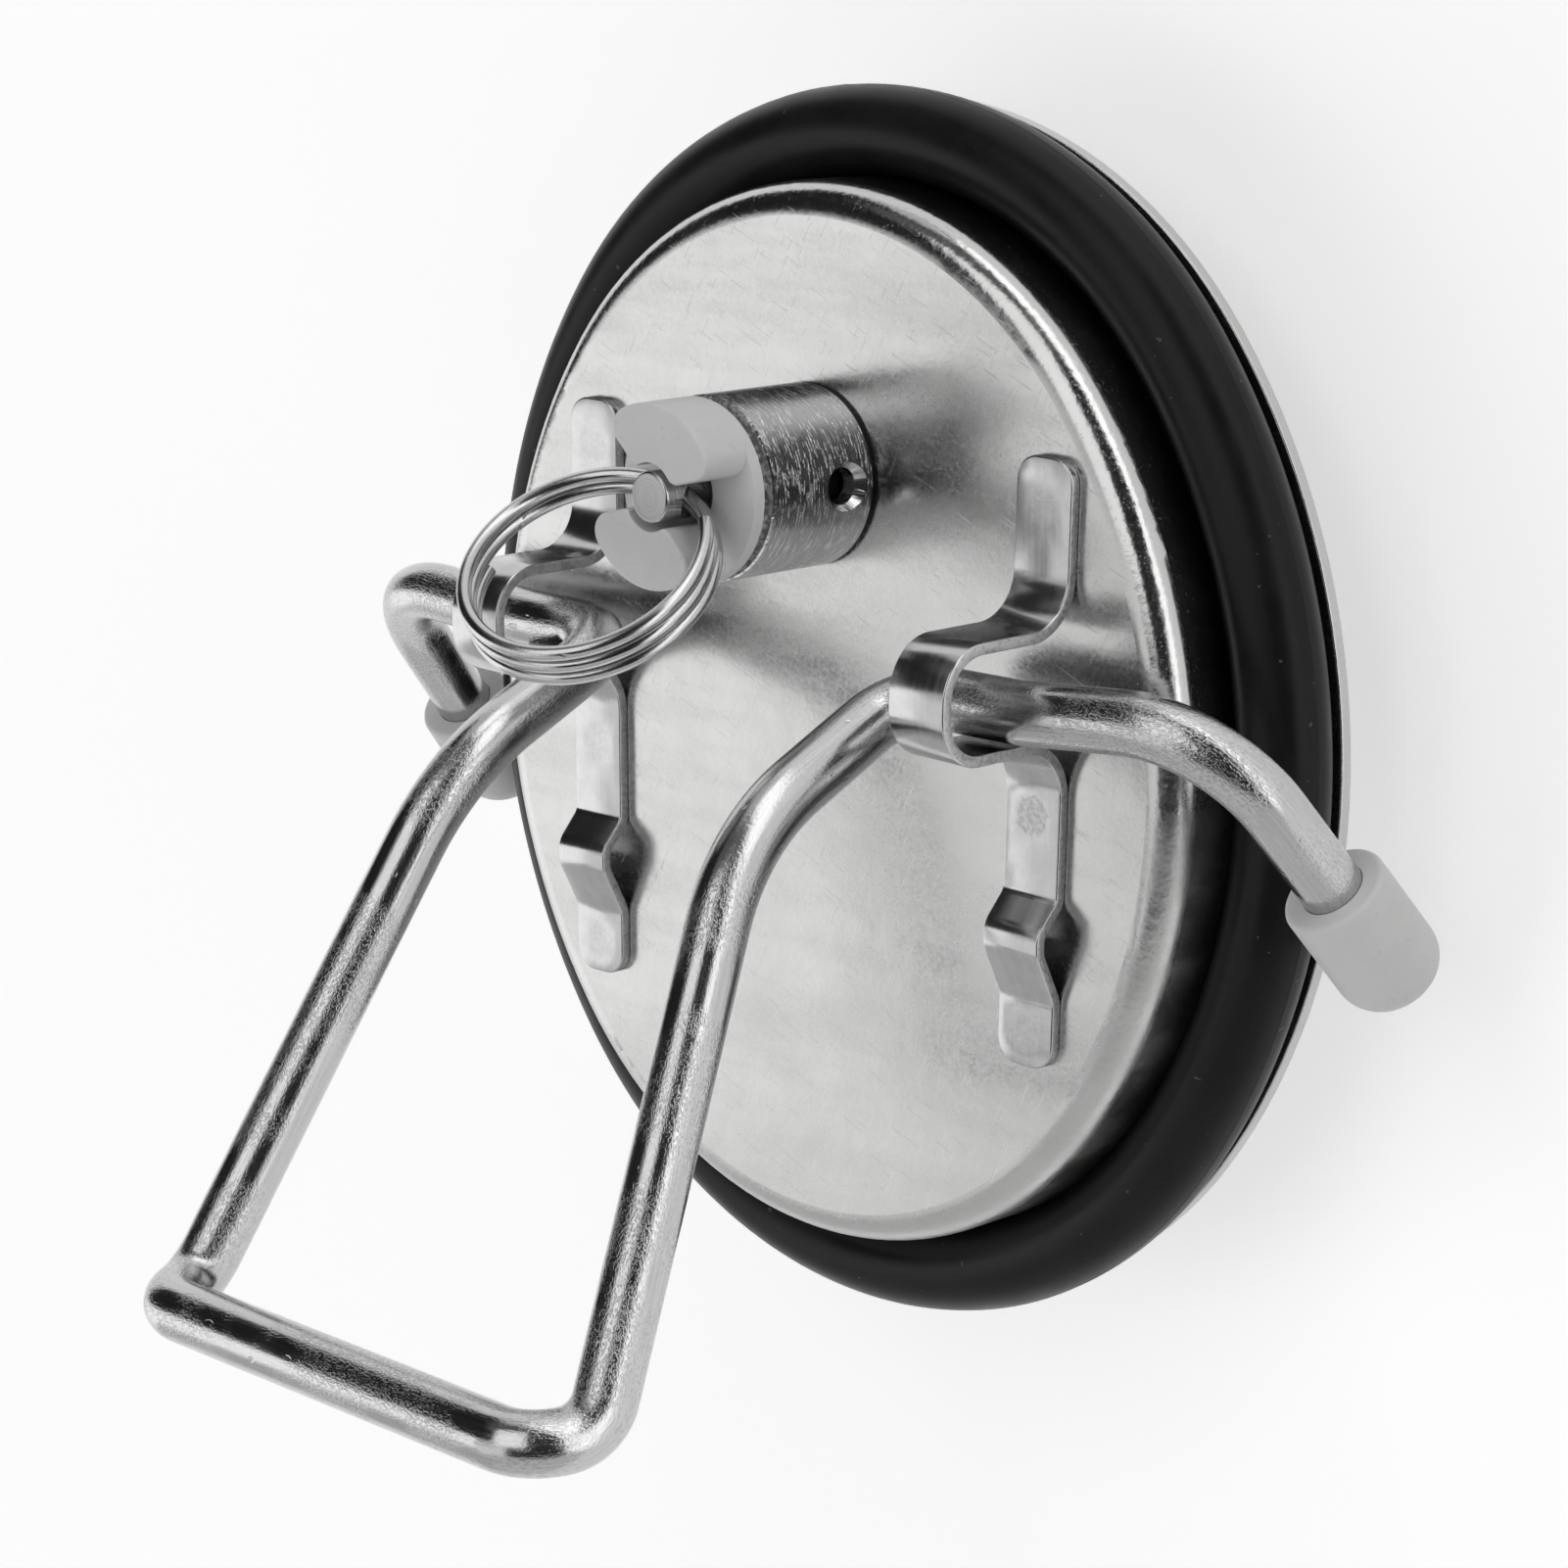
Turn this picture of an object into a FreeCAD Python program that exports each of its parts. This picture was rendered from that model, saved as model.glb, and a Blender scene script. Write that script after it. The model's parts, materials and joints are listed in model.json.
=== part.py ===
import FreeCAD, Part
import math
import os

# Oval keg lid with a folding bail and a pull-ring relief valve.
# Millimetres. +Z is the outside of the lid, Y its long axis, X the pivot axis of the bail.
# Origin: centre of the oval, in the plane of the underside of the flange.

V = FreeCAD.Vector
X_AXIS = V(1, 0, 0)
Y_AXIS = V(0, 1, 0)
Z_AXIS = V(0, 0, 1)
ORIGIN = V(0, 0, 0)

# Two positions nearer than this count as the same one, when an edge is looked up
NEAR = 0.01

# Pressed shell
sheet = 1.25
flange_half_length = 58.5
flange_half_width = 52.4
flange_end_radius = 49.3
flange_rim = 7.4
plateau_height = 15.6
shoulder_radius = 3.1
fold_radius = 1.0
lip_round = 0.25

# Lid gasket
gasket_section = 8.5
gasket_seat_gap = 0.05

# Bail clips
clip_spacing = 57.6
clip_width = 6.6
clip_sheet = 1.1
clip_back_end = 28.6
clip_front_end = -27.9
clip_left_longer = 1.6
clip_right_turn = -2.0
clip_turn_y = -20.0
clip_end_round = 2.4
hump_centre_y = 8.15
hump_inner_width = 9.0
hump_inner_height = 15.9
hump_top_radius = 4.45
hump_back_foot_radius = 5.0
hump_front_foot_radius = 5.3
bump_start_y = -11.9
bump_rise = 2.45
bump_ramp = 2.7
bump_flat = 1.9
bump_tail = 4.7
bump_front_radius = 1.6
bump_top_radius = 1.8
bump_tail_radius = 3.0
weld_back_y = 24.0
weld_middle_y = -4.3
weld_front_inset = 3.3
weld_spot_width = 4.0
weld_spot_depth = 0.04

# Bail
bail_wire_dia = 5.8
bail_side_gap = 0.25
bail_height = 22.5
bail_tilt = 1.2
bail_inner_x = 19.7
bail_straight_x = 33.5
bail_outer_x = 56.2
bail_outer_kink = 1.6
rise_length = 23.3
rise_angle = 64.5
arm_length = 52.8
arm_angle = 28.15
arm_end_x = 28.35
bar_step_in = 2.9
bar_step_up = 5.0
bar_step_on = 3.05
leg_length = 33.4
leg_angle = 39.8
leg_splay = 4.4
inner_bend_radius = 5.6
kink_radius = 28.0
outer_bend_radius = 11.0
dogleg_radius = 24.0
arm_end_radius = 4.8
bar_end_radius = 5.1

# Feet
foot_dia = 9.8
foot_length = 13.2
foot_tip_radius = 3.8
foot_mouth_round = 0.5
foot_bore_depth = 9.4
foot_bore_gap = 0.05

# Relief valve, body
valve_y = 23.9
boss_dia = 20.0
boss_height = 9.0
boss_chamfer = 0.8
thread_dia = 13.1
thread_gap = 0.05
thread_play = 0.2
thread_length = 9.4
stem_chamfer = 0.8
valve_gasket_thickness = 0.45
valve_gasket_inset = 0.15
barrel_dia = 17.3
barrel_top = 28.85
barrel_chamfer = 0.15
neck_dia = 15.2
neck_top = 30.0
spring_bore_dia = 12.8
cup_bore_dia = 14.0
cup_floor = 28.7
seat_floor = 17.0
port_dia = 6.4
seat_lip_height = 0.5
seat_lip_width = 0.7
vent_height = 19.3
vent_dia = 3.5
vent_sink_dia = 5.2

# Relief valve, moving parts and cap
washer_thickness = 0.9
pin_dia = 4.8
pin_top = 36.3
pin_gap = 0.25
pin_top_round = 0.3
poppet_dia = 11.2
poppet_thickness = 1.6
poppet_chamfer = 0.3
poppet_boss_dia = 6.4
poppet_boss_height = 1.0
seal_thickness = 1.3
spring_wire = 0.9
spring_mean_dia = 8.6
spring_turns = 4.0
cap_dia = 17.2
cap_floor = 31.3
cap_top = 36.3
cap_hole_dia = 6.4
cap_turn = -15.0
cap_plug_gap = 0.05
slot_width = 4.4
slot_flare_start = 2.9
slot_flare_angle = 29.0
lobe_corner_radius = 1.8
cap_edge_round = 0.3

# Pull ring
ring_outer_dia = 24.4
ring_wire = 1.4
ring_turn_gap = 0.15
ring_turns = 2.6
ring_end_angle = 38.0
ring_droop = 35.0
ring_hole_height = 32.6
ring_hole_dia = 3.5

# Sizes that follow from the ones above
neck_half_length = flange_half_length - flange_rim
neck_half_width = flange_half_width - flange_rim
neck_end_radius = flange_end_radius - flange_rim
clip_x = clip_spacing / 2
clip_mid = plateau_height + clip_sheet / 2
hump_half = (hump_inner_width + clip_sheet) / 2
hump_mid_top = plateau_height + hump_inner_height + clip_sheet / 2
bail_y = hump_centre_y - hump_inner_width / 2 + bail_wire_dia / 2 + bail_side_gap
valve_face = plateau_height + valve_gasket_thickness
ring_mean_radius = (ring_outer_dia - ring_wire) / 2


def rad(degrees):
    return math.radians(degrees)


def oval_wire(half_length, half_width, end_radius, z):
    """Oval of four tangent arcs, long along Y."""
    reach = half_length - end_radius
    side = (reach ** 2 + half_width ** 2 - end_radius ** 2) / (2 * (half_width - end_radius))
    shift = side - half_width
    join = math.degrees(math.atan2(reach, shift))
    arcs = [
        Part.makeCircle(side, V(-shift, 0, z), Z_AXIS, -join, join),
        Part.makeCircle(end_radius, V(0, reach, z), Z_AXIS, join, 180 - join),
        Part.makeCircle(side, V(shift, 0, z), Z_AXIS, 180 - join, 180 + join),
        Part.makeCircle(end_radius, V(0, -reach, z), Z_AXIS, 180 + join, 360 - join),
    ]
    return Part.Wire(arcs)


def oval_block(inset, z_low, z_high):
    """Upright oval solid whose edge lies inside the neck by inset."""
    wire = oval_wire(neck_half_length - inset, neck_half_width - inset, neck_end_radius - inset, z_low)
    return Part.Face(wire).extrude(V(0, 0, z_high - z_low))


def flat_edges(shape, z):
    """Edges of a shape that lie wholly at one height."""
    found = []
    for edge in shape.Edges:
        box = edge.BoundBox
        if abs(box.ZMin - z) < NEAR and abs(box.ZMax - z) < NEAR:
            found.append(edge)
    return found


def inner_edges(shape, z):
    """Edges at one height that go round the neck and not round the flange."""
    found = []
    for edge in flat_edges(shape, z):
        box = edge.BoundBox
        in_width = max(box.XMax, -box.XMin) < neck_half_width + NEAR
        in_length = max(box.YMax, -box.YMin) < neck_half_length + NEAR
        if in_width and in_length:
            found.append(edge)
    return found


def rim_edges(shape, radius):
    """Upright edges of a shape round the Z axis that lie at one radius."""
    found = []
    for edge in shape.Edges:
        ends = [vertex.Point for vertex in edge.Vertexes]
        if len(ends) == 2 and abs(ends[0].x - ends[1].x) < NEAR and abs(ends[0].y - ends[1].y) < NEAR:
            if abs(math.hypot(ends[0].x, ends[0].y) - radius) < NEAR:
                found.append(edge)
    return found


def cylinder(diameter, z_low, z_high, x=0.0, y=0.0):
    return Part.makeCylinder(diameter / 2, z_high - z_low, V(x, y, z_low), Z_AXIS)


def corner_arc(before, corner, after, radius):
    """Start, middle and end of the arc that rounds a corner, in a plane or in space."""
    to_before = (before - corner).normalize()
    to_after = (after - corner).normalize()
    half = to_before.getAngle(to_after) / 2
    reach = radius / math.tan(half)
    start = corner + to_before * reach
    end = corner + to_after * reach
    inward = (to_before + to_after).normalize()
    centre = corner + inward * (radius / math.sin(half))
    middle = centre - inward * radius
    return start, middle, end


def rounded_path(corners, radii):
    """Open wire through the corners, each inner one rounded with its own radius."""
    edges = []
    here = corners[0]
    for index in range(1, len(corners) - 1):
        before, corner, after = corners[index - 1:index + 2]
        start, middle, end = corner_arc(before, corner, after, radii[index - 1])
        if here.distanceToPoint(start) > NEAR:
            edges.append(Part.LineSegment(here, start).toShape())
        edges.append(Part.Arc(start, middle, end).toShape())
        here = end
    edges.append(Part.LineSegment(here, corners[-1]).toShape())
    return Part.Wire(edges)


def bar_on(edge, diameter):
    """Round bar on one straight or circular edge."""
    start = edge.valueAt(edge.FirstParameter)
    direction = edge.tangentAt(edge.FirstParameter)
    section = Part.Face(Part.Wire([Part.makeCircle(diameter / 2, start, direction)]))
    if edge.Curve.TypeId == "Part::GeomLine":
        return section.extrude(edge.valueAt(edge.LastParameter) - start)
    angle = math.degrees(edge.LastParameter - edge.FirstParameter)
    return section.revolve(edge.Curve.Center, edge.Curve.Axis, angle)


def tube_along(path, diameter):
    """Round bar along a wire of lines and tangent arcs."""
    bars = [bar_on(edge, diameter) for edge in path.Edges]
    return bars[0].multiFuse(bars[1:])


def coil(mean_radius, pitch, turns, diameter):
    """Coiled wire from z = 0 up, about three arcs to a turn through points of the helix."""
    arc_count = math.ceil(3 * turns - 0.01)
    points = []
    for index in range(2 * arc_count + 1):
        angle = math.pi * turns * index / arc_count
        height = pitch * angle / (2 * math.pi)
        points.append(V(mean_radius * math.cos(angle), mean_radius * math.sin(angle), height))
    arcs = []
    for index in range(0, len(points) - 2, 2):
        arcs.append(Part.Arc(points[index], points[index + 1], points[index + 2]).toShape())
    first = arcs[0]
    start = first.valueAt(first.FirstParameter)
    section = Part.makeCircle(diameter / 2, start, first.tangentAt(first.FirstParameter))
    return Part.Wire(arcs).makePipeShell([Part.Wire([section])], True, False)


def side_of_strip(corners, radii, offset):
    """Corners and radii of one face of a bent strip, offset from its middle line, in the YZ plane."""
    moved = []
    new_radii = []
    count = len(corners)
    normals = []
    for index in range(count - 1):
        along = (corners[index + 1] - corners[index]).normalize()
        normals.append(V(0, -along.z, along.y))
    moved.append(corners[0] + normals[0] * offset)
    for index in range(1, count - 1):
        n_in = normals[index - 1]
        n_out = normals[index]
        bisector = (n_in + n_out).normalize()
        moved.append(corners[index] + bisector * (offset / bisector.dot(n_in)))
        turn = n_in.y * n_out.z - n_in.z * n_out.y
        sign = 1.0 if turn > 0 else -1.0
        new_radii.append(radii[index - 1] - sign * offset)
    moved.append(corners[-1] + normals[-1] * offset)
    return moved, new_radii


def bent_strip(corners, radii, thickness, width, x_middle):
    """Strip of constant thickness, bent along corners in the YZ plane and wide along X."""
    upper, upper_radii = side_of_strip(corners, radii, thickness / 2)
    lower, lower_radii = side_of_strip(corners, radii, -thickness / 2)
    edges = list(rounded_path(upper, upper_radii).Edges)
    edges.append(Part.LineSegment(upper[-1], lower[-1]).toShape())
    edges += list(rounded_path(lower, lower_radii).Edges)
    edges.append(Part.LineSegment(lower[0], upper[0]).toShape())
    face = Part.Face(Part.Wire(Part.__sortEdges__(edges)))
    face.translate(V(x_middle - width / 2, 0, 0))
    return face.extrude(V(width, 0, 0))


def make_lid_shell():
    """Plateau, neck and flange in one pressed sheet, with the hole for the valve."""
    outer = oval_block(0, 0, plateau_height)
    outer = outer.makeFillet(shoulder_radius, flat_edges(outer, plateau_height))
    inner = oval_block(sheet, -1.0, plateau_height - sheet)
    inner = inner.makeFillet(shoulder_radius - sheet, flat_edges(inner, plateau_height - sheet))
    flange_wire = oval_wire(flange_half_length, flange_half_width, flange_end_radius, 0)
    flange = Part.Face(flange_wire).extrude(V(0, 0, sheet))
    flange = flange.makeFillet(lip_round, flat_edges(flange, sheet))
    shell = flange.fuse(outer).cut(inner).removeSplitter()
    shell = shell.makeFillet(fold_radius, inner_edges(shell, sheet))
    shell = shell.makeFillet(fold_radius + sheet, inner_edges(shell, 0))
    return shell.cut(cylinder(thread_dia + 2 * thread_play, 0, plateau_height + 1, 0, valve_y))


def make_lid_gasket():
    """Round rubber ring that lies on the flange and hugs the neck."""
    out = gasket_section / 2 + gasket_seat_gap
    z = sheet + gasket_section / 2 + gasket_seat_gap
    path = oval_wire(neck_half_length + out, neck_half_width + out, neck_end_radius + out, z)
    return tube_along(path, gasket_section)


def front_shift(side):
    """How much further forwards a clip reaches, measured on what lies in front of its hump."""
    return clip_left_longer if side < 0 else 0.0


def clip_corners(side):
    """Middle line of a clip from its back end to its front end, with the bend radii."""
    bump_top = clip_mid + bump_rise
    y_one = bump_start_y - front_shift(side)
    y_two = y_one - bump_ramp
    y_three = y_two - bump_flat
    y_four = y_three - bump_tail
    corners = [
        V(0, clip_back_end, clip_mid),
        V(0, hump_centre_y + hump_half, clip_mid),
        V(0, hump_centre_y + hump_half, hump_mid_top),
        V(0, hump_centre_y - hump_half, hump_mid_top),
        V(0, hump_centre_y - hump_half, clip_mid),
        V(0, y_one, clip_mid),
        V(0, y_two, bump_top),
        V(0, y_three, bump_top),
        V(0, y_four, clip_mid),
        V(0, clip_front_end - front_shift(side), clip_mid),
    ]
    radii = [hump_back_foot_radius, hump_top_radius, hump_top_radius, hump_front_foot_radius,
             bump_front_radius, bump_top_radius, bump_top_radius, bump_tail_radius]
    return corners, radii


def make_clip(side):
    """One bail clip: three welded flats, the high hump round the bail and the small bump."""
    corners, radii = clip_corners(side)
    strip = bent_strip(corners, radii, clip_sheet, clip_width, side * clip_x)
    ends = []
    for edge in strip.Edges:
        box = edge.BoundBox
        upright = box.YMax - box.YMin < NEAR and box.XMax - box.XMin < NEAR
        at_end = min(abs(box.YMin - corners[0].y), abs(box.YMin - corners[-1].y)) < NEAR
        if upright and at_end:
            ends.append(edge)
    strip = strip.makeFillet(clip_end_round, ends)
    top = plateau_height + clip_sheet
    ball = ((weld_spot_width / 2) ** 2 + weld_spot_depth ** 2) / (2 * weld_spot_depth)
    for y in (weld_back_y, weld_middle_y - front_shift(side), corners[-1].y + weld_front_inset):
        dimple = Part.makeSphere(ball, V(side * clip_x, y, top + ball - weld_spot_depth))
        reach = cylinder(weld_spot_width, top - clip_sheet / 2, top + weld_spot_depth, side * clip_x, y)
        strip = strip.cut(dimple.common(reach))
    if side > 0:
        strip.rotate(V(clip_x, clip_turn_y, 0), Z_AXIS, clip_right_turn)
    return strip


def leg_line(side):
    """Knee of a leg, where it leaves the pivot line, and the direction down it."""
    leg = rad(leg_angle)
    knee = V(side * bail_outer_x, bail_y + bail_outer_kink, bail_height)
    along = V(side * leg_splay / leg_length, -math.cos(leg), -math.sin(leg)).normalize()
    return knee, along


def tilted(shape):
    """A part of the bail, turned as the bail lies loose in its clips, with its right side higher."""
    shape.rotate(V(0, bail_y, bail_height), Y_AXIS, -bail_tilt)
    return shape


def bail_corners():
    """Middle line of the bail from the hand bar to the right foot and its mirror, with the bend radii."""
    rise = rad(rise_angle)
    arm = rad(arm_angle)
    dog_y = bail_y - rise_length * math.cos(rise)
    dog_z = bail_height + rise_length * math.sin(rise)
    arm_y = dog_y - arm_length * math.cos(arm)
    arm_z = dog_z + arm_length * math.sin(arm)
    bar_y = arm_y - bar_step_on * math.cos(arm) + bar_step_up * math.sin(arm)
    bar_z = arm_z + bar_step_on * math.sin(arm) + bar_step_up * math.cos(arm)
    knee, along = leg_line(1)
    half = [
        knee + along * (leg_length - foot_length + foot_bore_depth),
        knee,
        V(bail_straight_x, bail_y, bail_height),
        V(bail_inner_x, bail_y, bail_height),
        V(bail_inner_x, dog_y, dog_z),
        V(arm_end_x, arm_y, arm_z),
        V(arm_end_x - bar_step_in, bar_y, bar_z),
    ]
    radii = [outer_bend_radius, kink_radius, inner_bend_radius, dogleg_radius, arm_end_radius, bar_end_radius]
    mirrored = [V(-p.x, p.y, p.z) for p in half]
    return mirrored + half[::-1], radii + radii[::-1]


def make_bail_wire():
    """The whole bail: legs, pivot lengths, arms and the raised hand bar, in one bent wire."""
    corners, radii = bail_corners()
    return tilted(tube_along(rounded_path(corners, radii), bail_wire_dia))


def make_foot(side):
    """Moulded cap on the end of a leg."""
    knee, along = leg_line(side)
    mouth = knee + along * (leg_length - foot_length)
    body = Part.makeCylinder(foot_dia / 2, foot_length, ORIGIN, Z_AXIS)
    body = body.makeFillet(foot_tip_radius, flat_edges(body, foot_length))
    body = body.makeFillet(foot_mouth_round, flat_edges(body, 0))
    bore_depth = foot_bore_depth + foot_bore_gap
    bore = Part.makeCylinder(bail_wire_dia / 2 + foot_bore_gap, bore_depth, ORIGIN, Z_AXIS)
    body = body.cut(bore)
    body.Placement = FreeCAD.Placement(mouth, FreeCAD.Rotation(Z_AXIS, along))
    return tilted(body)


def make_valve_boss():
    """Threaded bush welded under the plateau."""
    top = plateau_height - sheet
    boss = cylinder(boss_dia, top - boss_height, top, 0, valve_y)
    boss = boss.makeChamfer(boss_chamfer, flat_edges(boss, top - boss_height))
    return boss.cut(cylinder(thread_dia + 2 * thread_gap, 0, top + 1, 0, valve_y))


def make_valve_gasket():
    """Thin flat seal under the barrel."""
    ring = cylinder(barrel_dia - 2 * valve_gasket_inset, plateau_height, valve_face, 0, valve_y)
    return ring.cut(cylinder(thread_dia + 2 * thread_play, plateau_height - 1, valve_face + 1, 0, valve_y))


def make_valve_body():
    """Turned body: screwed stem, barrel with the cross vents, and the neck that carries the cap."""
    low = valve_face - thread_length - sheet
    barrel = cylinder(barrel_dia, valve_face, barrel_top, 0, valve_y)
    barrel = barrel.makeChamfer(barrel_chamfer, flat_edges(barrel, barrel_top))
    body = barrel.fuse(cylinder(neck_dia, barrel_top, neck_top, 0, valve_y))
    stem = cylinder(thread_dia, low, valve_face, 0, valve_y)
    stem = stem.makeChamfer(stem_chamfer, flat_edges(stem, low))
    body = body.fuse(stem)
    body = body.cut(cylinder(port_dia, low - 1, seat_floor + 1, 0, valve_y))
    body = body.cut(cylinder(spring_bore_dia, seat_floor, neck_top + 1, 0, valve_y))
    body = body.cut(cylinder(cup_bore_dia, cup_floor, neck_top + 1, 0, valve_y))
    lip = cylinder(port_dia + 2 * seat_lip_width, seat_floor, seat_floor + seat_lip_height, 0, valve_y)
    lip = lip.cut(cylinder(port_dia, seat_floor - 1, seat_floor + 2, 0, valve_y))
    body = body.fuse(lip)
    start = V(-barrel_dia, valve_y, vent_height)
    body = body.cut(Part.makeCylinder(vent_dia / 2, 2 * barrel_dia, start, X_AXIS))
    sink = (vent_sink_dia - vent_dia) / 2
    for side in (-1, 1):
        face = V(side * (barrel_dia / 2 + sink), valve_y, vent_height)
        cone = Part.makeCone(vent_sink_dia / 2 + sink, vent_dia / 2, 2 * sink, face, X_AXIS * (-side))
        body = body.cut(cone)
    return body.removeSplitter()


def make_poppet_seal():
    """Rubber disc that closes on the seat lip."""
    low = seat_floor + seat_lip_height
    return cylinder(poppet_dia, low, low + seal_thickness, 0, valve_y)


def make_poppet():
    """Metal disc over the seal, with a raised boss for the pin."""
    low = seat_floor + seat_lip_height + seal_thickness
    disc = cylinder(poppet_dia, low, low + poppet_thickness, 0, valve_y)
    disc = disc.makeChamfer(poppet_chamfer, flat_edges(disc, low + poppet_thickness))
    return disc.fuse(cylinder(poppet_boss_dia, poppet_top(), poppet_top() + poppet_boss_height, 0, valve_y))


def poppet_top():
    return seat_floor + seat_lip_height + seal_thickness + poppet_thickness


def make_valve_pin():
    """Pin that the ring pulls, with its cross hole near the top."""
    pin = cylinder(pin_dia, poppet_top() + poppet_boss_height, pin_top, 0, valve_y)
    pin = pin.makeFillet(pin_top_round, flat_edges(pin, pin_top))
    turn = rad(cap_turn)
    across = V(math.cos(turn), math.sin(turn), 0)
    start = V(0, valve_y, ring_hole_height) - across * pin_dia
    return pin.cut(Part.makeCylinder(ring_hole_dia / 2, 2 * pin_dia, start, across))


def make_valve_spring():
    """Return spring between the poppet and the guide washer."""
    low = poppet_top() + spring_wire / 2
    high = cup_floor - spring_wire / 2
    spring = coil(spring_mean_dia / 2, (high - low) / spring_turns, spring_turns, spring_wire)
    spring.translate(V(0, valve_y, low))
    return spring


def make_guide_washer():
    """Washer in the neck: guides the pin and takes the spring."""
    washer = cylinder(cup_bore_dia - 2 * cap_plug_gap, cup_floor, cup_floor + washer_thickness, 0, valve_y)
    return washer.cut(cylinder(pin_dia + 2 * pin_gap, cup_floor - 1, cup_floor + 3, 0, valve_y))


def make_valve_cap():
    """Moulded cap: a flange and two lobes with a flared slot for the ring between them."""
    narrow = slot_width / 2
    inner = slot_flare_start
    outer = cap_dia / 2 + cap_edge_round
    wide = narrow + (outer - inner) * math.tan(rad(slot_flare_angle))
    outline = [V(-outer, -wide, cap_floor), V(-inner, -narrow, cap_floor), V(inner, -narrow, cap_floor),
               V(outer, -wide, cap_floor), V(outer, wide, cap_floor), V(inner, narrow, cap_floor),
               V(-inner, narrow, cap_floor), V(-outer, wide, cap_floor)]
    slot = Part.Face(Part.makePolygon(outline + [outline[0]])).extrude(V(0, 0, cap_top))
    lobes = cylinder(cap_dia, cap_floor, cap_top).cut(slot)
    lobes = lobes.makeFillet(lobe_corner_radius, rim_edges(lobes, cap_dia / 2))
    lobes = lobes.makeFillet(cap_edge_round, flat_edges(lobes, cap_top))
    cap = cylinder(cap_dia, neck_top, cap_floor).fuse(lobes)
    cap = cap.fuse(cylinder(cup_bore_dia - 2 * cap_plug_gap, cup_floor + washer_thickness, neck_top))
    cap = cap.cut(cylinder(cap_hole_dia, cup_floor, cap_top + 1))
    cap.rotate(ORIGIN, Z_AXIS, cap_turn)
    cap.translate(V(0, valve_y, 0))
    return cap


def make_pull_ring():
    """Split ring of over two turns, with two of them through the cross hole, drooping to the front."""
    pitch = ring_wire + ring_turn_gap
    ring = coil(ring_mean_radius, pitch, ring_turns, ring_wire)
    turns_to_hole = 1 - ring_end_angle / 360
    ring.translate(V(0, 0, -pitch * (turns_to_hole + 0.5)))
    ring.rotate(ORIGIN, Z_AXIS, ring_end_angle - 90)
    ring.translate(V(0, ring_mean_radius, 0))
    ring.rotate(ORIGIN, X_AXIS, 90 + ring_droop)
    ring.rotate(ORIGIN, Z_AXIS, cap_turn)
    ring.translate(V(0, valve_y, ring_hole_height))
    return ring


def main():
    os.makedirs("parts", exist_ok=True)
    shapes = {
        "lid_shell": make_lid_shell(),
        "lid_gasket": make_lid_gasket(),
        "clip_left": make_clip(-1),
        "clip_right": make_clip(1),
        "bail_wire": make_bail_wire(),
        "foot_left": make_foot(-1),
        "foot_right": make_foot(1),
        "valve_boss": make_valve_boss(),
        "valve_gasket": make_valve_gasket(),
        "valve_body": make_valve_body(),
        "guide_washer": make_guide_washer(),
        "valve_cap": make_valve_cap(),
        "valve_pin": make_valve_pin(),
        "poppet": make_poppet(),
        "poppet_seal": make_poppet_seal(),
        "valve_spring": make_valve_spring(),
        "pull_ring": make_pull_ring(),
    }
    for name, shape in shapes.items():
        box = shape.optimalBoundingBox()
        print(name, shape.isValid(), len(shape.Solids), "volume", round(shape.Volume, 1),
              "x", round(box.XMin, 2), round(box.XMax, 2), "y", round(box.YMin, 2), round(box.YMax, 2),
              "z", round(box.ZMin, 2), round(box.ZMax, 2))
        shape.exportStep("parts/" + name + ".step")


main()
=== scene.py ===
import json
from math import atan2, cos, hypot, pi, radians, sin

import bmesh
import bpy
from bpy.props import FloatProperty, FloatVectorProperty, PointerProperty
from bpy.types import Node, NodeSocket, Operator, Panel, PropertyGroup
from mathutils import Matrix, Vector


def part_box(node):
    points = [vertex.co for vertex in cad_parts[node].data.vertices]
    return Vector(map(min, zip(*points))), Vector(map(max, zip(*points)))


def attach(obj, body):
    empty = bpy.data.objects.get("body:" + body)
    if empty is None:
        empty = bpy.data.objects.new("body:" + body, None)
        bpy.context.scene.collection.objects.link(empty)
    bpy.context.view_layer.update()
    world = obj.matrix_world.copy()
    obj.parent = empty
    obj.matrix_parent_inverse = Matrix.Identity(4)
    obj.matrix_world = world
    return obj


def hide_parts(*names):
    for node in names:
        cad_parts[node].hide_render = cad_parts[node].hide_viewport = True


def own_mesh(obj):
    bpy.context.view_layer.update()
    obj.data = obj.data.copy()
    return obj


bl_info = {
    "name": "Keg lid",
    "version": (1, 0, 0),
    "blender": (4, 5, 0),
    "location": "3D View > Sidebar > Keg lid",
    "description": "Finishes and detailed pieces of an oval keg lid with its bail and relief valve",
    "category": "Object",
}

# The packed model: the fixed frame of every size and place here, in metres
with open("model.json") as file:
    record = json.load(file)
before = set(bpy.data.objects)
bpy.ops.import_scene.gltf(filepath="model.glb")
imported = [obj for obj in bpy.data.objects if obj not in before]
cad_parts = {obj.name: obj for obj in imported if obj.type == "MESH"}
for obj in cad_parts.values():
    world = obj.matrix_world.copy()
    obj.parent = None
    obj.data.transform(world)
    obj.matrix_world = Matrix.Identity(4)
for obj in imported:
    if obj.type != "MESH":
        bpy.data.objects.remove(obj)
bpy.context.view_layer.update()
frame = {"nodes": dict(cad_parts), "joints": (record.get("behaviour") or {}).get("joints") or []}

MM = 0.001
WHITE = (1.0, 1.0, 1.0, 1.0)
DUST_COLOUR = (0.16, 0.16, 0.16, 1.0)
# Most of a noise lies between these
NOISE_LOW, NOISE_HIGH = 0.3, 0.7

# Attributes: the place along and round a wire, and the bend radius at a corner
WIRE_PLACE = "wire_place"
BEND_RADIUS = "bend_radius"

# Points closer than this are one point
SAME_PLACE = 1e-6
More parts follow.
